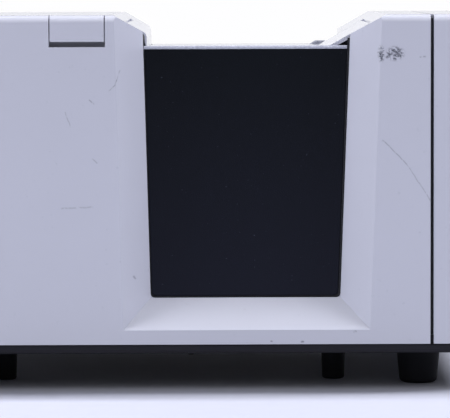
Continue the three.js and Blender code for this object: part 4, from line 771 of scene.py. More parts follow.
def slot_punch(middle, slot, columns, rows, depth):
    """Rows of slots as one cutter, about a middle and inwards from it along y."""
    length, width, pitch = slot
    sizes = {
        "Slot Length": length, "Slot Width": width, "Depth": depth,
        "Pitch Along": length + 2 * width, "Pitch Up": pitch, "Columns": columns,
        "Rows": rows, "Middle": middle, "Corner Sides": SLOT_CORNERS, "Material": powder_coat,
    }
    return by_rule("slot_punch", slot_rows, sizes)


supply_low, supply_high, supply_middle = span("power_supply")
supply_punches = [
    slot_punch(
        Vector((supply_middle.x, outer_y, supply_middle.z)), SUPPLY_SLOT, SUPPLY_COLUMNS, SUPPLY_ROWS,
        SUPPLY_POCKET + PUNCH_OVERRUN,
    )
    for outer_y in (supply_low.y + SUPPLY_POCKET, supply_high.y + PUNCH_OVERRUN)
]
dressed("power_supply", "case", aluminium, FOLDED_EDGE, cutters=supply_punches)

# Lamp housing
# A folded aluminium cover over the flash lamp, with cooling slots through its front and back walls.
LAMP_SLOT = (12 * MM, 2.4 * MM, 5 * MM)
LAMP_SLOT_LIFT = 4 * MM
LAMP_COLUMNS = 2
LAMP_ROWS = 4
housing_low, housing_high, housing_middle = span("lamp_housing")
lamp_punch = slot_punch(
    Vector((housing_middle.x, housing_high.y + PUNCH_OVERRUN, housing_middle.z + LAMP_SLOT_LIFT)),
    LAMP_SLOT, LAMP_COLUMNS, LAMP_ROWS, housing_high.y - housing_low.y + 2 * PUNCH_OVERRUN,
)
dressed("lamp_housing", "case", aluminium, FOLDED_EDGE, cutters=[lamp_punch])

# Compartment tray
# The black folded trough between the towers where the cell holder runs, with a window in each wall. The
# holder is black too, with a clip of spring steel.
TRAY_EDGE = 0.5 * MM
CLIP_EDGE = 0.2 * MM
dressed("compartment_tray", "case", powder_coat, TRAY_EDGE)
dressed("holder_carriage", "carriage", powder_coat, TRAY_EDGE)
dressed("holder_clip", "clip", steel, CLIP_EDGE)

# Lid seal
# A strip of closed-cell foam along the tray's rear edge, glued on, which the lid closes on.
FOAM_EDGE = 0.6 * MM
PORE_SIZE = 1.1 * MM

# Closed-cell foam: charcoal grey and matt, its cut face full of fine pores
# The same black foam also stands in as painted shade: in the seams, under the lid's wings and round the lid
foam, tree, place = new_material("closed_cell_foam")
pores = add_node(tree, "ShaderNodeTexVoronoi", Vector=place, Scale=1 / PORE_SIZE)
surfaced(tree, (pores, "#18191c", "#303136"), (pores, 0.6, 0.2 * MM), Roughness=0.92, IOR=1.45)
dressed("lid_seal", "case", foam, FOAM_EDGE)

# Main cover
# The shell over both towers, folded and welded from steel sheet with the bezel's three slopes pressed
# in, rubbed down and stoved in pale blue-grey enamel. It carries the years' scuffs and scratches.
PAINT = "#b8bac8"
PAINT_AGED = "#b3b5c3"
PAINT_EDGE = 0.45 * MM
BROW_RADIUS = 6.0 * MM
BROW_STEPS = 10
BROW_CLEARANCE = 3 * MM
PEEL_SIZE = 2.2 * MM
SCRATCH_DARK = "#3a3e4b"
GRIME = "#878b9c"
# Reach of the noise that moves the marks off straight lines, and how deep behind the front face they show
WANDER = 2.4 * MM
FRONT_DEPTH = 14 * MM
# Start, end, half width in pixels and strength of each mark on the front, in the photograph's pixels
FRONT_MARKS = {
    "long_scratch_upper": ((383, 140), (407, 165), 0.45, 0.45),
    "long_scratch_lower": ((407, 165), (431, 201), 0.4, 0.35),
    "curved_scratch_top": ((120.5, 70), (118, 79), 0.35, 0.35),
    "curved_scratch_middle": ((118, 79), (116, 85), 0.4, 0.6),
    "curved_scratch_end": ((116, 85), (109.5, 90.5), 0.4, 0.5),
    "short_nick": ((90, 99), (94, 103), 0.5, 0.5),
    "left_tick": ((66, 111), (71, 126), 0.35, 0.35),
    "middle_tick": ((93, 158), (97, 162), 0.45, 0.4),
    "long_rub": ((60, 208), (92, 206), 0.6, 0.3),
    "sill_pit_left": ((270.5, 342), (271.5, 342), 0.7, 0.9),
    "sill_pit_right": ((301.5, 342), (302.5, 342), 0.7, 0.9),
    "slope_pit": ((354.5, 332), (355.5, 332), 0.8, 0.8),
    "edge_pit": ((133, 277), (135, 279), 0.7, 0.5),
    "scuff_left_bow": ((382.4, 52), (379.6, 56), 1.1, 0.85),
    "scuff_left_foot": ((379.6, 56), (383.6, 60), 0.7, 0.6),
    "scuff_low_stroke": ((387.4, 57), (392.5, 53), 1.0, 0.85),
    "scuff_cross_down": ((393.5, 50.5), (399.5, 55), 1.1, 0.95),
    "scuff_cross_up": ((394, 56), (400.5, 49.5), 0.8, 0.8),
    "scuff_right_stroke": ((398, 49), (403, 55), 0.8, 0.75),
    "scuff_tick": ((420, 57.4), (425, 56.6), 0.6, 0.45),
}
# Upper left and lower right of the two scribbled patches beside the seam, in the same pixels
SCUFF_PATCHES = (((377.5, 44.5), (385, 63)), ((385, 46), (405, 61.5)))

scratch, given = rule(
    "scratch", "Shader", "Mask", Vector=["Place", "Start", "Run", "Run Over Its Square"],
    Float=["Half Width", "Strength", "Others"],
)
from_start = add_node(
    scratch, "ShaderNodeVectorMath", {"operation": "SUBTRACT"}, i0=given["Place"], i1=given["Start"],
)
along = add_node(
    scratch, "ShaderNodeVectorMath", {"operation": "DOT_PRODUCT"},
    i0=from_start, i1=given["Run Over Its Square"],
)
share = add_node(scratch, "ShaderNodeMath", {"operation": "ADD", "use_clamp": True}, i0=along, i1=0.0)
nearest = add_node(scratch, "ShaderNodeVectorMath", {"operation": "SCALE"}, i0=given["Run"], Scale=share)
away = add_node(scratch, "ShaderNodeVectorMath", {"operation": "DISTANCE"}, i0=from_start, i1=nearest)
line = add_node(
    scratch, "ShaderNodeMapRange",
    Value=away, From_Min=given["Half Width"], From_Max=0.0, To_Max=given["Strength"],
)
darkest = add_node(scratch, "ShaderNodeMath", {"operation": "MAXIMUM"}, i0=line, i1=given["Others"])
add_node(scratch, "NodeGroupOutput", Mask=darkest)

# Stoved enamel on steel sheet: a hard, slightly pebbled satin film that goes white at grazing angles
housing_paint, tree, place = new_material("stoved_enamel")
apart = add_node(tree, "ShaderNodeSeparateXYZ", Vector=place)
on_front = add_node(
    tree, "ShaderNodeMath", {"operation": "LESS_THAN"}, i0=apart.outputs["Y"], i1=FRONT_Y + FRONT_DEPTH,
)
wander = add_node(tree, "ShaderNodeTexNoise", Vector=place, Scale=90.0, Detail=2.0)
wandered = add_node(
    tree, "ShaderNodeVectorMath", {"operation": "MULTIPLY_ADD"},
    i0=wander.outputs["Color"], i1=(WANDER, 0, WANDER), i2=place,
)
straightened = add_node(
    tree, "ShaderNodeVectorMath", {"operation": "MULTIPLY"}, i0=wandered, i1=(1, 0, 1),
)
marks = 0.0
for start_pixel, end_pixel, half_width, strength in FRONT_MARKS.values():
    start_place = pixel_on_front(*start_pixel)
    # The noise's mean is a half, which moves every mark by half its reach
    start_place += Vector((WANDER / 2, -start_place.y, WANDER / 2))
    run = pixel_on_front(*end_pixel) - pixel_on_front(*start_pixel)
    marks = add_node(
        tree, "ShaderNodeGroup", {"node_tree": scratch},
        Place=straightened, Start=start_place, Run=run, Run_Over_Its_Square=run / run.length_squared,
        Half_Width=half_width * 2 * PIXEL, Strength=strength, Others=marks,
    )
breaks = add_node(tree, "ShaderNodeTexNoise", Vector=place, Scale=420.0, Detail=1.0)
broken = add_node(tree, "ShaderNodeMapRange", Value=breaks, From_Min=0.3, From_Max=0.5)
broken_marks = add_node(tree, "ShaderNodeMath", {"operation": "MULTIPLY"}, i0=marks, i1=broken)
# The scribbled scuff beside the seam: thin wandering lines in two small patches
reaches = []
for upper_left, lower_right in SCUFF_PATCHES:
    patch_from, patch_to = pixel_on_front(*upper_left), pixel_on_front(*lower_right)
    patch_half = (patch_to - patch_from) / 2
    scuff_scaled = add_node(
        tree, "ShaderNodeVectorMath", {"operation": "MULTIPLY_ADD"},
        i0=place, i1=(1 / patch_half.x, 0, 1 / patch_half.z),
        i2=(-(patch_from.x / patch_half.x + 1), 0, -(patch_from.z / patch_half.z + 1)),
    )
    reach = add_node(tree, "ShaderNodeVectorMath", {"operation": "LENGTH"}, i0=scuff_scaled)
    reaches.append(reach)
scuff_reach = add_node(tree, "ShaderNodeMath", {"operation": "MINIMUM"}, i0=reaches[0], i1=reaches[1])
scuff_patch = add_node(
    tree, "ShaderNodeMapRange", {"interpolation_type": "SMOOTHSTEP"},
    Value=scuff_reach, From_Min=1.15, From_Max=0.5,
)
scribble = add_node(tree, "ShaderNodeTexNoise", Vector=place, Scale=210.0, Detail=3.0, Distortion=1.8)
scribble_middle = add_node(tree, "ShaderNodeMath", {"operation": "SUBTRACT"}, i0=scribble, i1=0.5)
scribble_line = add_node(tree, "ShaderNodeMath", {"operation": "ABSOLUTE"}, i0=scribble_middle)
scribble_mask = add_node(tree, "ShaderNodeMapRange", Value=scribble_line, From_Min=0.075, From_Max=0.02)
scuff = add_node(tree, "ShaderNodeMath", {"operation": "MULTIPLY"}, i0=scuff_patch, i1=scribble_mask)
all_marks = add_node(tree, "ShaderNodeMath", {"operation": "MAXIMUM"}, i0=broken_marks, i1=scuff)
front_marks = add_node(tree, "ShaderNodeMath", {"operation": "MULTIPLY"}, i0=all_marks, i1=on_front)
ageing = add_node(tree, "ShaderNodeTexNoise", Vector=place, Scale=7.0, Detail=4.0, Roughness=0.65)
grime = add_node(tree, "ShaderNodeTexNoise", Vector=place, Scale=260.0, Detail=3.0)
specks = add_node(tree, "ShaderNodeMapRange", Value=grime, From_Min=0.68, From_Max=0.8, To_Max=0.22)
aged = add_node(tree, "ShaderNodeMix", {"data_type": "RGBA"}, Factor=ageing, i6=PAINT, i7=PAINT_AGED)
speckled = add_node(tree, "ShaderNodeMix", {"data_type": "RGBA"}, Factor=specks, i6=aged, i7=GRIME)
sheen_patches = add_node(tree, "ShaderNodeMapRange", Value=ageing, To_Min=0.36, To_Max=0.48)
peel = add_node(tree, "ShaderNodeTexNoise", Vector=place, Scale=1 / PEEL_SIZE, Detail=2.0, Roughness=0.5)
pebbled = add_node(tree, "ShaderNodeBump", Strength=0.16, Distance=0.08 * MM, Height=peel)
scored = add_node(
    tree, "ShaderNodeBump", {"invert": True},
    Strength=0.5, Distance=0.06 * MM, Height=front_marks, Normal=pebbled,
)
surfaced(
    tree, (front_marks, speckled, SCRATCH_DARK),
    Roughness=sheen_patches, IOR=1.5, Normal=scored, Coat_Weight=1.0, Coat_Roughness=0.14,
)


def extruded(name, section, axis, low, high, *materials):
    """A flat section drawn out along x or y into a closed body with its faces outward."""
    places = [
        (level, *point) if axis == "x" else (point[0], level, point[1])
        for level in (low, high) for point in section
    ]
    count = len(section)
    sides = [(i, count + i, count + (i + 1) % count, (i + 1) % count) for i in range(count)]
    mesh = bpy.data.meshes.new(name)
    mesh.from_pydata(places, [], [tuple(range(count)), tuple(reversed(range(count, 2 * count))), *sides])
    shape = bmesh.new()
    shape.from_mesh(mesh)
    bmesh.ops.recalc_face_normals(shape, faces=shape.faces)
    shape.to_mesh(mesh)
    shape.free()
    return new_piece(name, mesh, *materials)


def fitted(piece, body):
    """A made piece finished and fixed on its body."""
    finished(piece)
    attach(piece, body)


def brow_cutter():
    """What the press takes off the sharp front top edge to leave the case's rounded brow."""
    top = cad_box[1].z
    middle_y, middle_z = FRONT_Y + BROW_RADIUS, top - BROW_RADIUS
    turns = [math.pi / 2 * i / BROW_STEPS for i in range(BROW_STEPS + 1)]
    section = [
        (middle_y - BROW_RADIUS * math.cos(a), middle_z + BROW_RADIUS * math.sin(a)) for a in turns
    ]
    section += [
        (middle_y, top + BROW_CLEARANCE), (FRONT_Y - BROW_CLEARANCE, top + BROW_CLEARANCE),
        (FRONT_Y - BROW_CLEARANCE, middle_z),
    ]
    return extruded("brow_cutter", section, "x", cad_box[0].x - BROW_CLEARANCE, cad_box[1].x + BROW_CLEARANCE)


dressed("main_cover", "case", housing_paint, PAINT_EDGE, cutters=[brow_cutter()])

# Top hatch
# A painted steel plate over the lamp, with a tab folded down over the front edge for a finger to lift.
PLATE_PAINT_EDGE = 0.35 * MM
dressed("top_hatch", "hatch", housing_paint, PLATE_PAINT_EDGE, cutters=[brow_cutter()])

# End covers
# Two deep drawn caps that close the ends of the case and meet the main cover at a narrow dark seam.
# Their tongues behind the seams are faced with black foam, which is painted shade standing in for the shade
# in the seams.
cover_low, cover_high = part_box("main_cover")
SEAM_SHADE_REACH = 1.6 * MM
for end_cover in ("left_end_cover", "right_end_cover"):
    piece = dressed(
        end_cover, "case", housing_paint, PAINT_EDGE, cutters=[brow_cutter()],
    )
    # Painted shade: the tongue's faces near the seam are given black foam
    piece.data.materials.append(foam)
    for face in piece.data.polygons:
        if cover_low.x - SEAM_SHADE_REACH < face.center.x < cover_high.x + SEAM_SHADE_REACH:
            face.material_index = 1

# Hinge bridge
# The fixed top of the compartment behind the lid, folded in the case's enamel, with the lid's hinge pin and
# a small moulded cover for the switch that stops the lamp when the lid is up.
BRIDGE_EDGE = 0.5 * MM
INTERLOCK_EDGE = 0.9 * MM
dressed("hinge_bridge", "case", housing_paint, BRIDGE_EDGE)

# Moulded ABS, grey: an even satin skin with a very fine spark-eroded grain
grey_plastic, tree, place = new_material("moulded_grey_abs")
spark = add_node(tree, "ShaderNodeTexNoise", Vector=place, Scale=1800.0, Detail=2.0)
yellowing = add_node(tree, "ShaderNodeTexNoise", Vector=place, Scale=40.0, Detail=3.0)
surfaced(tree, (yellowing, "#7d808d", "#8a8c98"), (spark, 0.25, 0.03 * MM), Roughness=0.55, IOR=1.53)
dressed("interlock_cover", "case", grey_plastic, INTERLOCK_EDGE, steps=3)

# Compartment lid
# A folded top plate in the case's enamel, with a wing over each slope, and a front plate screwed to it.
# The right wing's front edge is hemmed double, and a block of black foam under it is painted shade, filling
# the dark gap beneath the wing.
dressed("lid_top_plate", "lid", housing_paint, PLATE_PAINT_EDGE)

# Ends of the right wing's underside, as x and z
WING_FOOT = Vector((123.64, 272.4)) * MM
WING_EDGE = Vector((140.2, 281.78)) * MM
WING_FRONT_Y = -131.35 * MM
HEM_DEPTH = 5 * MM
HEM_LINE = [Vector(point) * MM for point in ((140.2, 279.9), (131.6, 275.3), (126.2, 272.4))]
HEM_FROM, HEM_TO = WING_FRONT_Y, WING_FRONT_Y + HEM_DEPTH
hem_section = [WING_FOOT, WING_EDGE, *HEM_LINE]
hem = extruded("lid_wing_hem", hem_section, "y", HEM_FROM, HEM_TO, housing_paint)
fitted(hem, "lid")

# Painted shade: a black foam block fills the dark gap under the right wing
SHADE_PLUG_FROM, SHADE_PLUG_TO = -126 * MM, -116 * MM
shade_plug_section = [WING_FOOT, WING_EDGE, Vector((WING_EDGE.x, WING_FOOT.y))]
shade_plug = extruded("lid_wing_shade_plug", shade_plug_section, "y", SHADE_PLUG_FROM, SHADE_PLUG_TO, foam)
fitted(shade_plug, "lid")

# A wedge of the same black foam at the foot of the left wing is painted shade, filling the dark gap there
SHADE_WEDGE_FROM, SHADE_WEDGE_TO = -131.7 * MM, -128 * MM
shade_wedge_section = [Vector(point) * MM for point in ((-25.2, 274.4), (-23.2, 274.4), (-25.0, 280.4))]
shade_wedge = extruded("lid_wing_shade_wedge", shade_wedge_section, "y", SHADE_WEDGE_FROM, SHADE_WEDGE_TO, foam)
fitted(shade_wedge, "lid")

# Lid bead
# A half-round strip of the same steel, spot-welded along the lid's front edge and rubbed dull by hands.
# Its enamel is painted darker than the case's as painted shade on its top-lit face.
BEAD_HEIGHT = 2.6 * MM
BEAD_DEPTH = 3.8 * MM
BEAD_OVERHANG = 0.9 * MM
BEAD_STEPS = 10

# Enamel rubbed dull: the same film with its gloss taken off by sleeves and fingers, its colour darker than
# the case's enamel as painted shade on a top-lit face, in small mottled patches
rubbed_and_shaded_paint, tree, place = new_material("rubbed_and_painted_shade_enamel")
wear = add_node(tree, "ShaderNodeTexNoise", Vector=place, Scale=520.0, Detail=4.0, Roughness=0.75)
worn = add_node(tree, "ShaderNodeMapRange", Value=wear, From_Min=0.35, From_Max=0.65)
surfaced(tree, (worn, "#888b9c", "#abaebd"), Roughness=0.6, IOR=1.5)
plate_low, plate_high, plate_middle = span("lid_front_plate")
BEAD_LEFT, BEAD_RIGHT = plate_low.x - BEAD_OVERHANG, plate_high.x
bead_middle_y = plate_low.y + BEAD_DEPTH / 2
bead_section = [
    (
        bead_middle_y - BEAD_DEPTH / 2 * math.cos(math.pi * i / BEAD_STEPS),
        plate_high.z + BEAD_HEIGHT * math.sin(math.pi * i / BEAD_STEPS),
    )
    for i in range(BEAD_STEPS + 1)
]
bead = extruded("lid_bead", bead_section, "x", BEAD_LEFT, BEAD_RIGHT, rubbed_and_shaded_paint)
fitted(bead, "lid")

# Opening seal
# A black foam strip glued to the edge of the opening on three sides, filling the gap round the lid; its black
# is painted shade, standing in for the shade in that gap.
SEAL_FROM, SEAL_TO = plate_low.y + 0.3 * MM, plate_low.y + 3.5 * MM
SEAL_LEFT_TOP, SEAL_RIGHT_TOP = plate_high.z - 0.4 * MM, 281 * MM
SEAL_CLEAR = 0.35 * MM
ON_FACE = 0.01 * MM
SEAL_LEFT, SEAL_RIGHT, SEAL_BOTTOM = 1.1 * MM, 2.1 * MM, 1.5 * MM
outline = [v.co for v in merged("lid_front_plate").vertices if abs(v.co.y - plate_low.y) < ON_FACE]
outline.sort(key=lambda p: math.atan2(p.x - plate_middle.x, plate_middle.z - p.z))
outline = [Vector((p.x, p.z)) for p in outline]
for end, before, top in ((0, 1, SEAL_LEFT_TOP), (-1, -2, SEAL_RIGHT_TOP)):
    rise = outline[end] - outline[before]
    outline[end] = outline[end] + rise * ((top - outline[end].y) / rise.y)


def moved_out(point, left, right, bottom):
    """A point of the lid plate's outline, moved towards the side of the opening that is nearest it."""
    sideways = -left if point.x < plate_middle.x else right
    return point + Vector((sideways, -bottom if point.y < plate_middle.z else 0))


section = [moved_out(point, SEAL_LEFT, SEAL_RIGHT, SEAL_BOTTOM) for point in outline]
section += [moved_out(point, SEAL_CLEAR, SEAL_CLEAR, SEAL_CLEAR) for point in reversed(outline)]
# Painted shade: black foam fills the clearance round the lid
fitted(extruded("opening_seal_painted_shade", section, "y", SEAL_FROM, SEAL_TO, foam), "case")

# Lid front plate
# A flat steel plate, screwed to the top plate's flange from behind, in black crinkle enamel with painted
# highlights on its wrinkles' tips and painted light that lightens it towards the bottom.
CRINKLE_SIZE = 1.5 * MM
PLATE_EDGE = 0.5 * MM

# Black crinkle enamel: a thick paint that shrinks in the oven into fine matt wrinkles, their tips lightened
# as painted highlights. It is lightened towards the bottom as painted light, with a few specks of lint
crinkle_paint, tree, place = new_material("black_crinkle_enamel")
warp = add_node(tree, "ShaderNodeTexNoise", Vector=place, Scale=1 / CRINKLE_SIZE / 2, Detail=2.0)
warped = add_node(
    tree, "ShaderNodeVectorMath", {"operation": "MULTIPLY_ADD"},
    i0=warp.outputs["Color"], i1=(CRINKLE_SIZE,) * 3, i2=place,
)
wrinkle = add_node(
    tree, "ShaderNodeTexVoronoi", {"feature": "DISTANCE_TO_EDGE"}, Vector=warped, Scale=1 / CRINKLE_SIZE,
)
grain = add_node(tree, "ShaderNodeTexNoise", Vector=place, Scale=900.0, Detail=3.0, Roughness=0.7)
raised = add_node(tree, "ShaderNodeMath", {"operation": "MULTIPLY_ADD"}, i0=grain, i1=0.5, i2=wrinkle)
# Painted highlight: the wrinkles' raised tips are made lighter
painted_tip_highlight = add_node(tree, "ShaderNodeMapRange", Value=grain, From_Min=0.62, From_Max=0.78, To_Max=0.3)
apart = add_node(tree, "ShaderNodeSeparateXYZ", Vector=place)
# Painted light: the plate is made lighter towards its bottom
painted_light_below = add_node(
    tree, "ShaderNodeMapRange",
    Value=apart.outputs["Z"], From_Min=plate_high.z, From_Max=plate_low.z, To_Max=0.22,
)
highlight_and_light_share = add_node(tree, "ShaderNodeMath", {"operation": "ADD"}, i0=painted_tip_highlight, i1=painted_light_below)
black = add_node(
    tree, "ShaderNodeMix", {"data_type": "RGBA"}, Factor=highlight_and_light_share, i6="#050910", i7="#2b2c40",
)
lint = add_node(tree, "ShaderNodeTexNoise", Vector=place, Scale=430.0, Detail=2.0)
lint_speck = add_node(tree, "ShaderNodeMapRange", Value=lint, From_Min=0.72, From_Max=0.78, To_Max=0.6)
surfaced(
    tree, (lint_speck, black, "#5a5f70"), (raised, 0.5, 0.2 * MM),
    Roughness=0.6, IOR=1.5, Specular_IOR_Level=0.18,
)
dressed("lid_front_plate", "lid", crinkle_paint, PLATE_EDGE)

# Port plate
# A turned and blackened plate round the sample port, held by four black screws.
PORT_EDGE = 0.5 * MM
dressed("port_plate", "case", powder_coat, PORT_EDGE)

# Sample clamp
# A sprung arm on a pin between two ears, which presses the sample on the port with a soft rubber pad.
SPRING_WIRE = 0.35 * MM
SPRING_TURNS = 4
SPRING_STEPS = 24
ARM_EDGE = 0.8 * MM
BRACKET_EDGE = 0.5 * MM
PAD_EDGE = 1.2 * MM
PAD_GROOVE = 0.8 * MM
# Radii of the pad's two grooves, as shares of its own
GROOVE_SHARES = (0.72, 0.45)
dressed("clamp_arm", "clamp", powder_coat, ARM_EDGE, steps=3)
pad_low, pad_high, pad_middle = span("clamp_pad")
pad_radius = (pad_high.z - pad_low.z) / 2
pad_depth = pad_high.x - pad_low.x
pad_profile = [(0, 0), (pad_radius - 2 * PAD_EDGE, 0)]
pad_profile += corner(pad_radius - PAD_EDGE, PAD_EDGE, PAD_EDGE, -90, 0)
pad_profile += corner(pad_radius - PAD_EDGE, pad_depth - PAD_EDGE, PAD_EDGE, 0, 90)
for share in GROOVE_SHARES:
    groove = share * pad_radius
    pad_profile += [
        (groove + PAD_GROOVE, pad_depth), (groove, pad_depth - PAD_GROOVE), (groove - PAD_GROOVE, pad_depth),
    ]
pad_profile += [(0, pad_depth)]
pad = turned(
    "clamp_pad_rubber", pad_profile, (pad_low.x, pad_middle.y, pad_middle.z), (1, 0, 0), rubber, "clamp",
)
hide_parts("clamp_pad")
dressed("clamp_bracket", "case", aluminium, BRACKET_EDGE)
dressed("clamp_pin", "case", steel, ROD_EDGE)

spring_low, spring_high, spring_middle = span("clamp_spring")
spring_radius = (spring_high.x - spring_low.x) / 2 - SPRING_WIRE
spring_length = spring_high.y - spring_low.y - 2 * SPRING_WIRE
spring_path = []
for i in range(SPRING_TURNS * SPRING_STEPS + 1):
    turn = 2 * math.pi * i / SPRING_STEPS
    share = i / (SPRING_TURNS * SPRING_STEPS)
    spring_path.append((
        spring_middle.x + spring_radius * math.cos(turn),
        spring_low.y + SPRING_WIRE + share * spring_length,
        spring_middle.z + spring_radius * math.sin(turn),
    ))
spring = wire("clamp_spring_wire", spring_path, SPRING_WIRE, steel, "case")
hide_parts("clamp_spring")

# Measure button
# A round moulded button above the port, with a shallow dish for the finger.
BUTTON_DISH = 0.9 * MM
BUTTON_EDGE = 0.8 * MM
BUTTON_STEPS = 8
BUTTON_FLANGE = 1.6 * MM
# The end cover's wall, and the gap between it and the flange behind it
WALL = 1.5 * MM
GAP = 0.3 * MM
button_low, button_high, button_middle = span("read_button")
case_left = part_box("left_end_cover")[0].x
flange_radius = (button_high.z - button_low.z) / 2
button_radius = flange_radius - BUTTON_FLANGE
flange_near = case_left + WALL + GAP - button_low.x
button_depth = button_high.x - button_low.x
dish = [
    ((button_radius - BUTTON_EDGE) * i / BUTTON_STEPS, BUTTON_DISH * (1 - (i / BUTTON_STEPS) ** 2))
    for i in range(BUTTON_STEPS + 1)
]
button_profile = [
    *dish, *corner(button_radius - BUTTON_EDGE, BUTTON_EDGE, BUTTON_EDGE, -90, 0)[1:],
    (button_radius, flange_near), (flange_radius, flange_near), (flange_radius, flange_near + BUTTON_FLANGE),
    (button_radius, flange_near + BUTTON_FLANGE), (button_radius, button_depth), (0, button_depth),
]
button = turned(
    "read_button_moulding", button_profile, (button_low.x, button_middle.y, button_middle.z), (1, 0, 0),
    dark_plastic, "button",
)
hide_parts("read_button")

# Rear panel
# A flat powder coated panel screwed to the cover's back flanges, pierced with rows of cooling slots beside
# the fan and behind the lamp and the power supply.
PANEL_SLOT = (26 * MM, 3.2 * MM, 8 * MM)
PANEL_PUNCH = 6 * MM
# Middle as shares of the panel's length and height, columns and rows of slots
SLOT_FIELD_SHARES = (((0.14, 0.80), 3, 6), ((0.50, 0.30), 4, 7))
panel_low, panel_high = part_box("rear_panel")
panel_punches = []
for (share_along, share_up), columns, rows in SLOT_FIELD_SHARES:
    field_middle = Vector((
        panel_low.x + share_along * (panel_high.x - panel_low.x),
        panel_high.y + PANEL_PUNCH,
        panel_low.z + share_up * (panel_high.z - panel_low.z),
    ))
    panel_punches.append(slot_punch(field_middle, PANEL_SLOT, columns, rows, 2 * PANEL_PUNCH))
dressed("rear_panel", "case", powder_coat, FOLDED_EDGE, cutters=panel_punches)

# Fan
# A moulded axial fan behind the round hole, its seven blades on a hub, and a steel wire guard outside.
GUARD_WIRE = 0.9 * MM
GUARD_RINGS = 4
GUARD_SPOKES = 4
RING_SIDES = 56
WIRE_SIDES = 8
FRAME_EDGE = 0.5 * MM
ROTOR_EDGE = 0.4 * MM
dressed("fan_frame", "case", dark_plastic, FRAME_EDGE)
dressed("fan_rotor", "fan", dark_plastic, ROTOR_EDGE)

wire_guard, given = rule(
    "wire_guard", Geometry=["Geometry"], Float=["Outer Radius", "Wire Radius"], Int=["Rings", "Spokes"],
    Vector=["Middle"], Material=["Material"],
)
ring_step = add_node(
    wire_guard, "ShaderNodeMath", {"operation": "DIVIDE"}, i0=given["Outer Radius"], i1=given["Rings"],
)
ring_points = add_node(wire_guard, "GeometryNodePoints", Count=given["Rings"])
ring_number = add_node(wire_guard, "GeometryNodeInputIndex")
ring_count = add_node(wire_guard, "ShaderNodeMath", {"operation": "ADD"}, i0=ring_number, i1=1.0)
ring_radius = add_node(
    wire_guard, "ShaderNodeMath", {"operation": "MULTIPLY"}, i0=ring_count, i1=ring_step,
)
ring = add_node(wire_guard, "GeometryNodeCurvePrimitiveCircle", Resolution=RING_SIDES, Radius=1.0)
rings = add_node(
    wire_guard, "GeometryNodeInstanceOnPoints", Points=ring_points, Instance=ring, Scale=ring_radius,
)
real_rings = add_node(wire_guard, "GeometryNodeRealizeInstances", Geometry=rings)
spoke_end = add_node(wire_guard, "ShaderNodeCombineXYZ", X=given["Outer Radius"])
spoke = add_node(wire_guard, "GeometryNodeCurvePrimitiveLine", i1=spoke_end)
spoke_points = add_node(wire_guard, "GeometryNodePoints", Count=given["Spokes"])
spoke_number = add_node(wire_guard, "GeometryNodeInputIndex")
spoke_share = add_node(
    wire_guard, "ShaderNodeMath", {"operation": "DIVIDE"}, i0=spoke_number, i1=given["Spokes"],
)
spoke_turn = add_node(
    wire_guard, "ShaderNodeMath", {"operation": "MULTIPLY_ADD"},
    i0=spoke_share, i1=2 * math.pi, i2=math.pi / 4,
)
spoke_rotation = add_node(wire_guard, "ShaderNodeCombineXYZ", Z=spoke_turn)
spokes = add_node(
    wire_guard, "GeometryNodeInstanceOnPoints",
    Points=spoke_points, Instance=spoke, Rotation=spoke_rotation,
)
real_spokes = add_node(wire_guard, "GeometryNodeRealizeInstances", Geometry=spokes)
behind = add_node(
    wire_guard, "ShaderNodeVectorMath", {"operation": "SCALE"}, i0=(0, 0, -2), Scale=given["Wire Radius"],
)
set_behind = add_node(wire_guard, "GeometryNodeTransform", Geometry=real_spokes, Translation=behind)
wires = add_node(wire_guard, "GeometryNodeJoinGeometry", Geometry=[real_rings, set_behind])
wire_section = add_node(
    wire_guard, "GeometryNodeCurvePrimitiveCircle", Resolution=WIRE_SIDES, Radius=given["Wire Radius"],
)
drawn = add_node(
    wire_guard, "GeometryNodeCurveToMesh", Curve=wires, Profile_Curve=wire_section, Fill_Caps=True,
)
stood = add_node(
    wire_guard, "GeometryNodeTransform",
    Geometry=drawn, Translation=given["Middle"], Rotation=(-math.pi / 2, 0, 0),
)
smooth = add_node(wire_guard, "GeometryNodeSetShadeSmooth", Geometry=stood)
ended(wire_guard, smooth, given["Material"])

fan_low, fan_high, fan_middle = span("fan_frame")
FAN_HALF = (fan_high.x - fan_low.x) / 2
guard_sizes = {
    "Outer Radius": FAN_HALF - 2 * GUARD_WIRE, "Wire Radius": GUARD_WIRE, "Rings": GUARD_RINGS,
    "Spokes": GUARD_SPOKES, "Middle": (fan_middle.x, panel_high.y + 3 * GUARD_WIRE, fan_middle.z),
    "Material": steel,
}
grown("fan_guard", wire_guard, guard_sizes, "case")

# Sockets and switch
# A mains inlet with its three flat pins, a rocker switch with a white bar on the side that turns it on,
# and a data connector with a bright metal shell.
SOCKET_EDGE = 0.35 * MM
ROCKER_EDGE = 0.5 * MM
dressed("power_inlet", "case", dark_plastic, SOCKET_EDGE)
dressed("power_switch", "rocker", dark_plastic, ROCKER_EDGE)

# Pad-printed ink: a thin flat white film, slightly worn through
white_ink, tree, place = new_material("pad_printed_ink")
wear = add_node(tree, "ShaderNodeTexNoise", Vector=place, Scale=1200.0, Detail=3.0)
worn = add_node(tree, "ShaderNodeMapRange", Value=wear, From_Min=0.62, From_Max=0.75)
surfaced(tree, (worn, "#e4e5e8", "#6c6d72"), Roughness=0.5, IOR=1.5)
_, rocker_high, rocker_middle = span("power_switch")
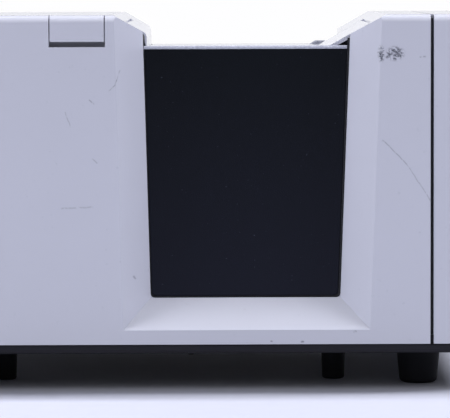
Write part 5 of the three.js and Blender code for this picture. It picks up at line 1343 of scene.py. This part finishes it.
# How far the rocker's middle and its upper edge lie inside the panel's outer face
ROCKER_VALLEY = 5 * MM
ROCKER_PROUD = 0.6 * MM
BAR_HALF_WIDTH = 0.6 * MM
BAR_LOW, BAR_HIGH = 3.4 * MM, 9.2 * MM
INK_BELOW, INK_ABOVE = -0.3 * MM, 0.1 * MM
bar_section = [
    (rocker_middle.x - BAR_HALF_WIDTH, rocker_middle.z + BAR_LOW),
    (rocker_middle.x + BAR_HALF_WIDTH, rocker_middle.z + BAR_LOW),
    (rocker_middle.x + BAR_HALF_WIDTH, rocker_middle.z + BAR_HIGH),
    (rocker_middle.x - BAR_HALF_WIDTH, rocker_middle.z + BAR_HIGH),
]
on_bar = extruded("rocker_on_bar", bar_section, "y", INK_BELOW, INK_ABOVE, white_ink)
for vertex in on_bar.data.vertices:
    up_share = (vertex.co.z - rocker_middle.z) / (rocker_high.z - rocker_middle.z)
    vertex.co.y += panel_high.y - ROCKER_VALLEY + up_share * (ROCKER_VALLEY - ROCKER_PROUD)
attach(on_bar, "rocker")
dressed("data_connector", "case", aluminium, SOCKET_EDGE)

# Screws
# Pan-head screws with hexagon sockets: stainless along the rear panel and at the fan's corners, black
# oxidised round the port plate, below the pan and up in the feet.
SCREW_HEAD = 5.6 * MM
SCREW_HEIGHT = 2.0 * MM
SCREW_SOCKET = 2.6 * MM
SCREW_SOCKET_DEPTH = 1.3 * MM
SCREW_CROWN_SHARE = 0.62
SCREW_SHARP_OVER = math.radians(28)
# How far a head stands off its panel
HEAD_LIFT = SCREW_HEIGHT / 4
HEAD_SIDES = 24
# A hexagon's radius to its corners, over its width across flats
HEXAGON_SHARE = 0.577

pan_head, given = rule(
    "pan_head", Geometry=["Geometry"],
    Float=["Head Diameter", "Head Height", "Socket Across", "Socket Depth", "Crown Share"],
    Vector=["Turn"], Material=["Material"],
)
head_radius = add_node(
    pan_head, "ShaderNodeMath", {"operation": "MULTIPLY"}, i0=given["Head Diameter"], i1=0.5,
)
crown_radius = add_node(
    pan_head, "ShaderNodeMath", {"operation": "MULTIPLY"}, i0=head_radius, i1=given["Crown Share"],
)
half_height = add_node(
    pan_head, "ShaderNodeMath", {"operation": "MULTIPLY"}, i0=given["Head Height"], i1=0.5,
)
side = add_node(
    pan_head, "GeometryNodeMeshCone",
    Vertices=HEAD_SIDES, Radius_Top=head_radius, Radius_Bottom=head_radius, Depth=half_height,
)
crown = add_node(
    pan_head, "GeometryNodeMeshCone",
    Vertices=HEAD_SIDES, Radius_Top=crown_radius, Radius_Bottom=head_radius, Depth=half_height,
)
crown_up = add_node(pan_head, "ShaderNodeCombineXYZ", Z=half_height)
crown_place = add_node(pan_head, "GeometryNodeTransform", Geometry=crown, Translation=crown_up)
head = add_node(
    pan_head, "GeometryNodeMeshBoolean", {"operation": "UNION", "solver": "EXACT"}, i1=[side, crown_place],
)
socket_radius = add_node(
    pan_head, "ShaderNodeMath", {"operation": "MULTIPLY"}, i0=given["Socket Across"], i1=HEXAGON_SHARE,
)
socket_hole = add_node(
    pan_head, "GeometryNodeMeshCylinder", Vertices=6, Radius=socket_radius, Depth=given["Socket Depth"],
)
socket_up = add_node(pan_head, "ShaderNodeCombineXYZ", Z=given["Head Height"])
socket_place = add_node(pan_head, "GeometryNodeTransform", Geometry=socket_hole, Translation=socket_up)
driven = add_node(
    pan_head, "GeometryNodeMeshBoolean", {"operation": "DIFFERENCE", "solver": "EXACT"},
    i0=head, i1=socket_place,
)
set_out = add_node(
    pan_head, "GeometryNodeInstanceOnPoints",
    Points=given["Geometry"], Instance=driven, Rotation=given["Turn"],
)
ended(pan_head, set_out, given["Material"])

FACING_BACK = (-math.pi / 2, 0, 0)
FACING_LEFT = (0, -math.pi / 2, 0)
FACING_DOWN = (math.pi, 0, 0)
SCREW_SIZES = {
    "Head Diameter": SCREW_HEAD, "Head Height": SCREW_HEIGHT, "Socket Across": SCREW_SOCKET,
    "Socket Depth": 2 * SCREW_SOCKET_DEPTH, "Crown Share": SCREW_CROWN_SHARE,
}

# Black oxide on steel: a thin dark conversion coat, satin with the oil it was sealed with
black_oxide, tree, place = new_material("black_oxide_steel")
oil = add_node(tree, "ShaderNodeTexNoise", Vector=place, Scale=400.0, Detail=3.0)
oiled = add_node(tree, "ShaderNodeMapRange", Value=oil, To_Min=0.35, To_Max=0.6)
surfaced(tree, (oil, "#15151a", "#24242b"), Roughness=oiled, IOR=1.5)


def screws(name, places, facing, body, metal=black_oxide):
    """One piece of all the screws of a panel, each with its head's underside at its place."""
    sizes = {**SCREW_SIZES, "Turn": facing, "Material": metal}
    piece = grown(name, pan_head, sizes, body, places)
    smoothed(piece, SCREW_SHARP_OVER)


SCREW_INSET = 8 * MM
SCREW_COLUMN_SHARES = (0.0, 0.25, 0.5, 0.75, 1.0)
SCREW_ROW_SHARES = (0.36, 0.68)
bridge_low, bridge_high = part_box("hinge_bridge")
head_face = panel_high.y + HEAD_LIFT
panel_screws = []
for share in SCREW_COLUMN_SHARES:
    x = panel_low.x + SCREW_INSET + share * (panel_high.x - panel_low.x - 2 * SCREW_INSET)
    panel_screws.append((x, head_face, panel_low.z + SCREW_INSET))
    in_valley = bridge_low.x < x < bridge_high.x
    panel_screws.append((x, head_face, (bridge_high.z if in_valley else panel_high.z) - SCREW_INSET))
for share in SCREW_ROW_SHARES:
    for x in (panel_low.x + SCREW_INSET, panel_high.x - SCREW_INSET):
        panel_screws.append((x, head_face, panel_low.z + share * (panel_high.z - panel_low.z)))
FAN_SCREW_INSET = 4.3 * MM
for side_x in (-1, 1):
    for side_z in (-1, 1):
        panel_screws.append((
            fan_middle.x + side_x * (FAN_HALF - FAN_SCREW_INSET), head_face,
            fan_middle.z + side_z * (FAN_HALF - FAN_SCREW_INSET),
        ))
screws("rear_panel_screws", panel_screws, FACING_BACK, "case", steel)

port_low, _, port_middle = span("port_plate")
PORT_SCREW_CIRCLE = 32 * MM
PORT_SCREW_TURNS = (45, 135, 225, 315)
screws(
    "port_plate_screws",
    [
        (
            port_low.x - HEAD_LIFT,
            port_middle.y + PORT_SCREW_CIRCLE * math.cos(math.radians(turn)),
            port_middle.z + PORT_SCREW_CIRCLE * math.sin(math.radians(turn)),
        )
        for turn in PORT_SCREW_TURNS
    ],
    FACING_LEFT, "case",
)

PAN_SCREW_INSET = 14 * MM
pan_screws = [
    (x, y, pan_low.z - HEAD_LIFT)
    for x in (pan_low.x + PAN_SCREW_INSET, (pan_low.x + pan_high.x) / 2, pan_high.x - PAN_SCREW_INSET)
    for y in (pan_low.y + PAN_SCREW_INSET, pan_high.y - PAN_SCREW_INSET)
]
screws("base_pan_screws", pan_screws, FACING_DOWN, "case")

foot_screws = []
for node in FOOT_DRAFTS:
    low, high, middle = span(node)
    foot_screws.append((middle.x, middle.y, low.z + WELL_DEPTH - HEAD_LIFT))
screws("foot_screws", foot_screws, FACING_DOWN, "case")
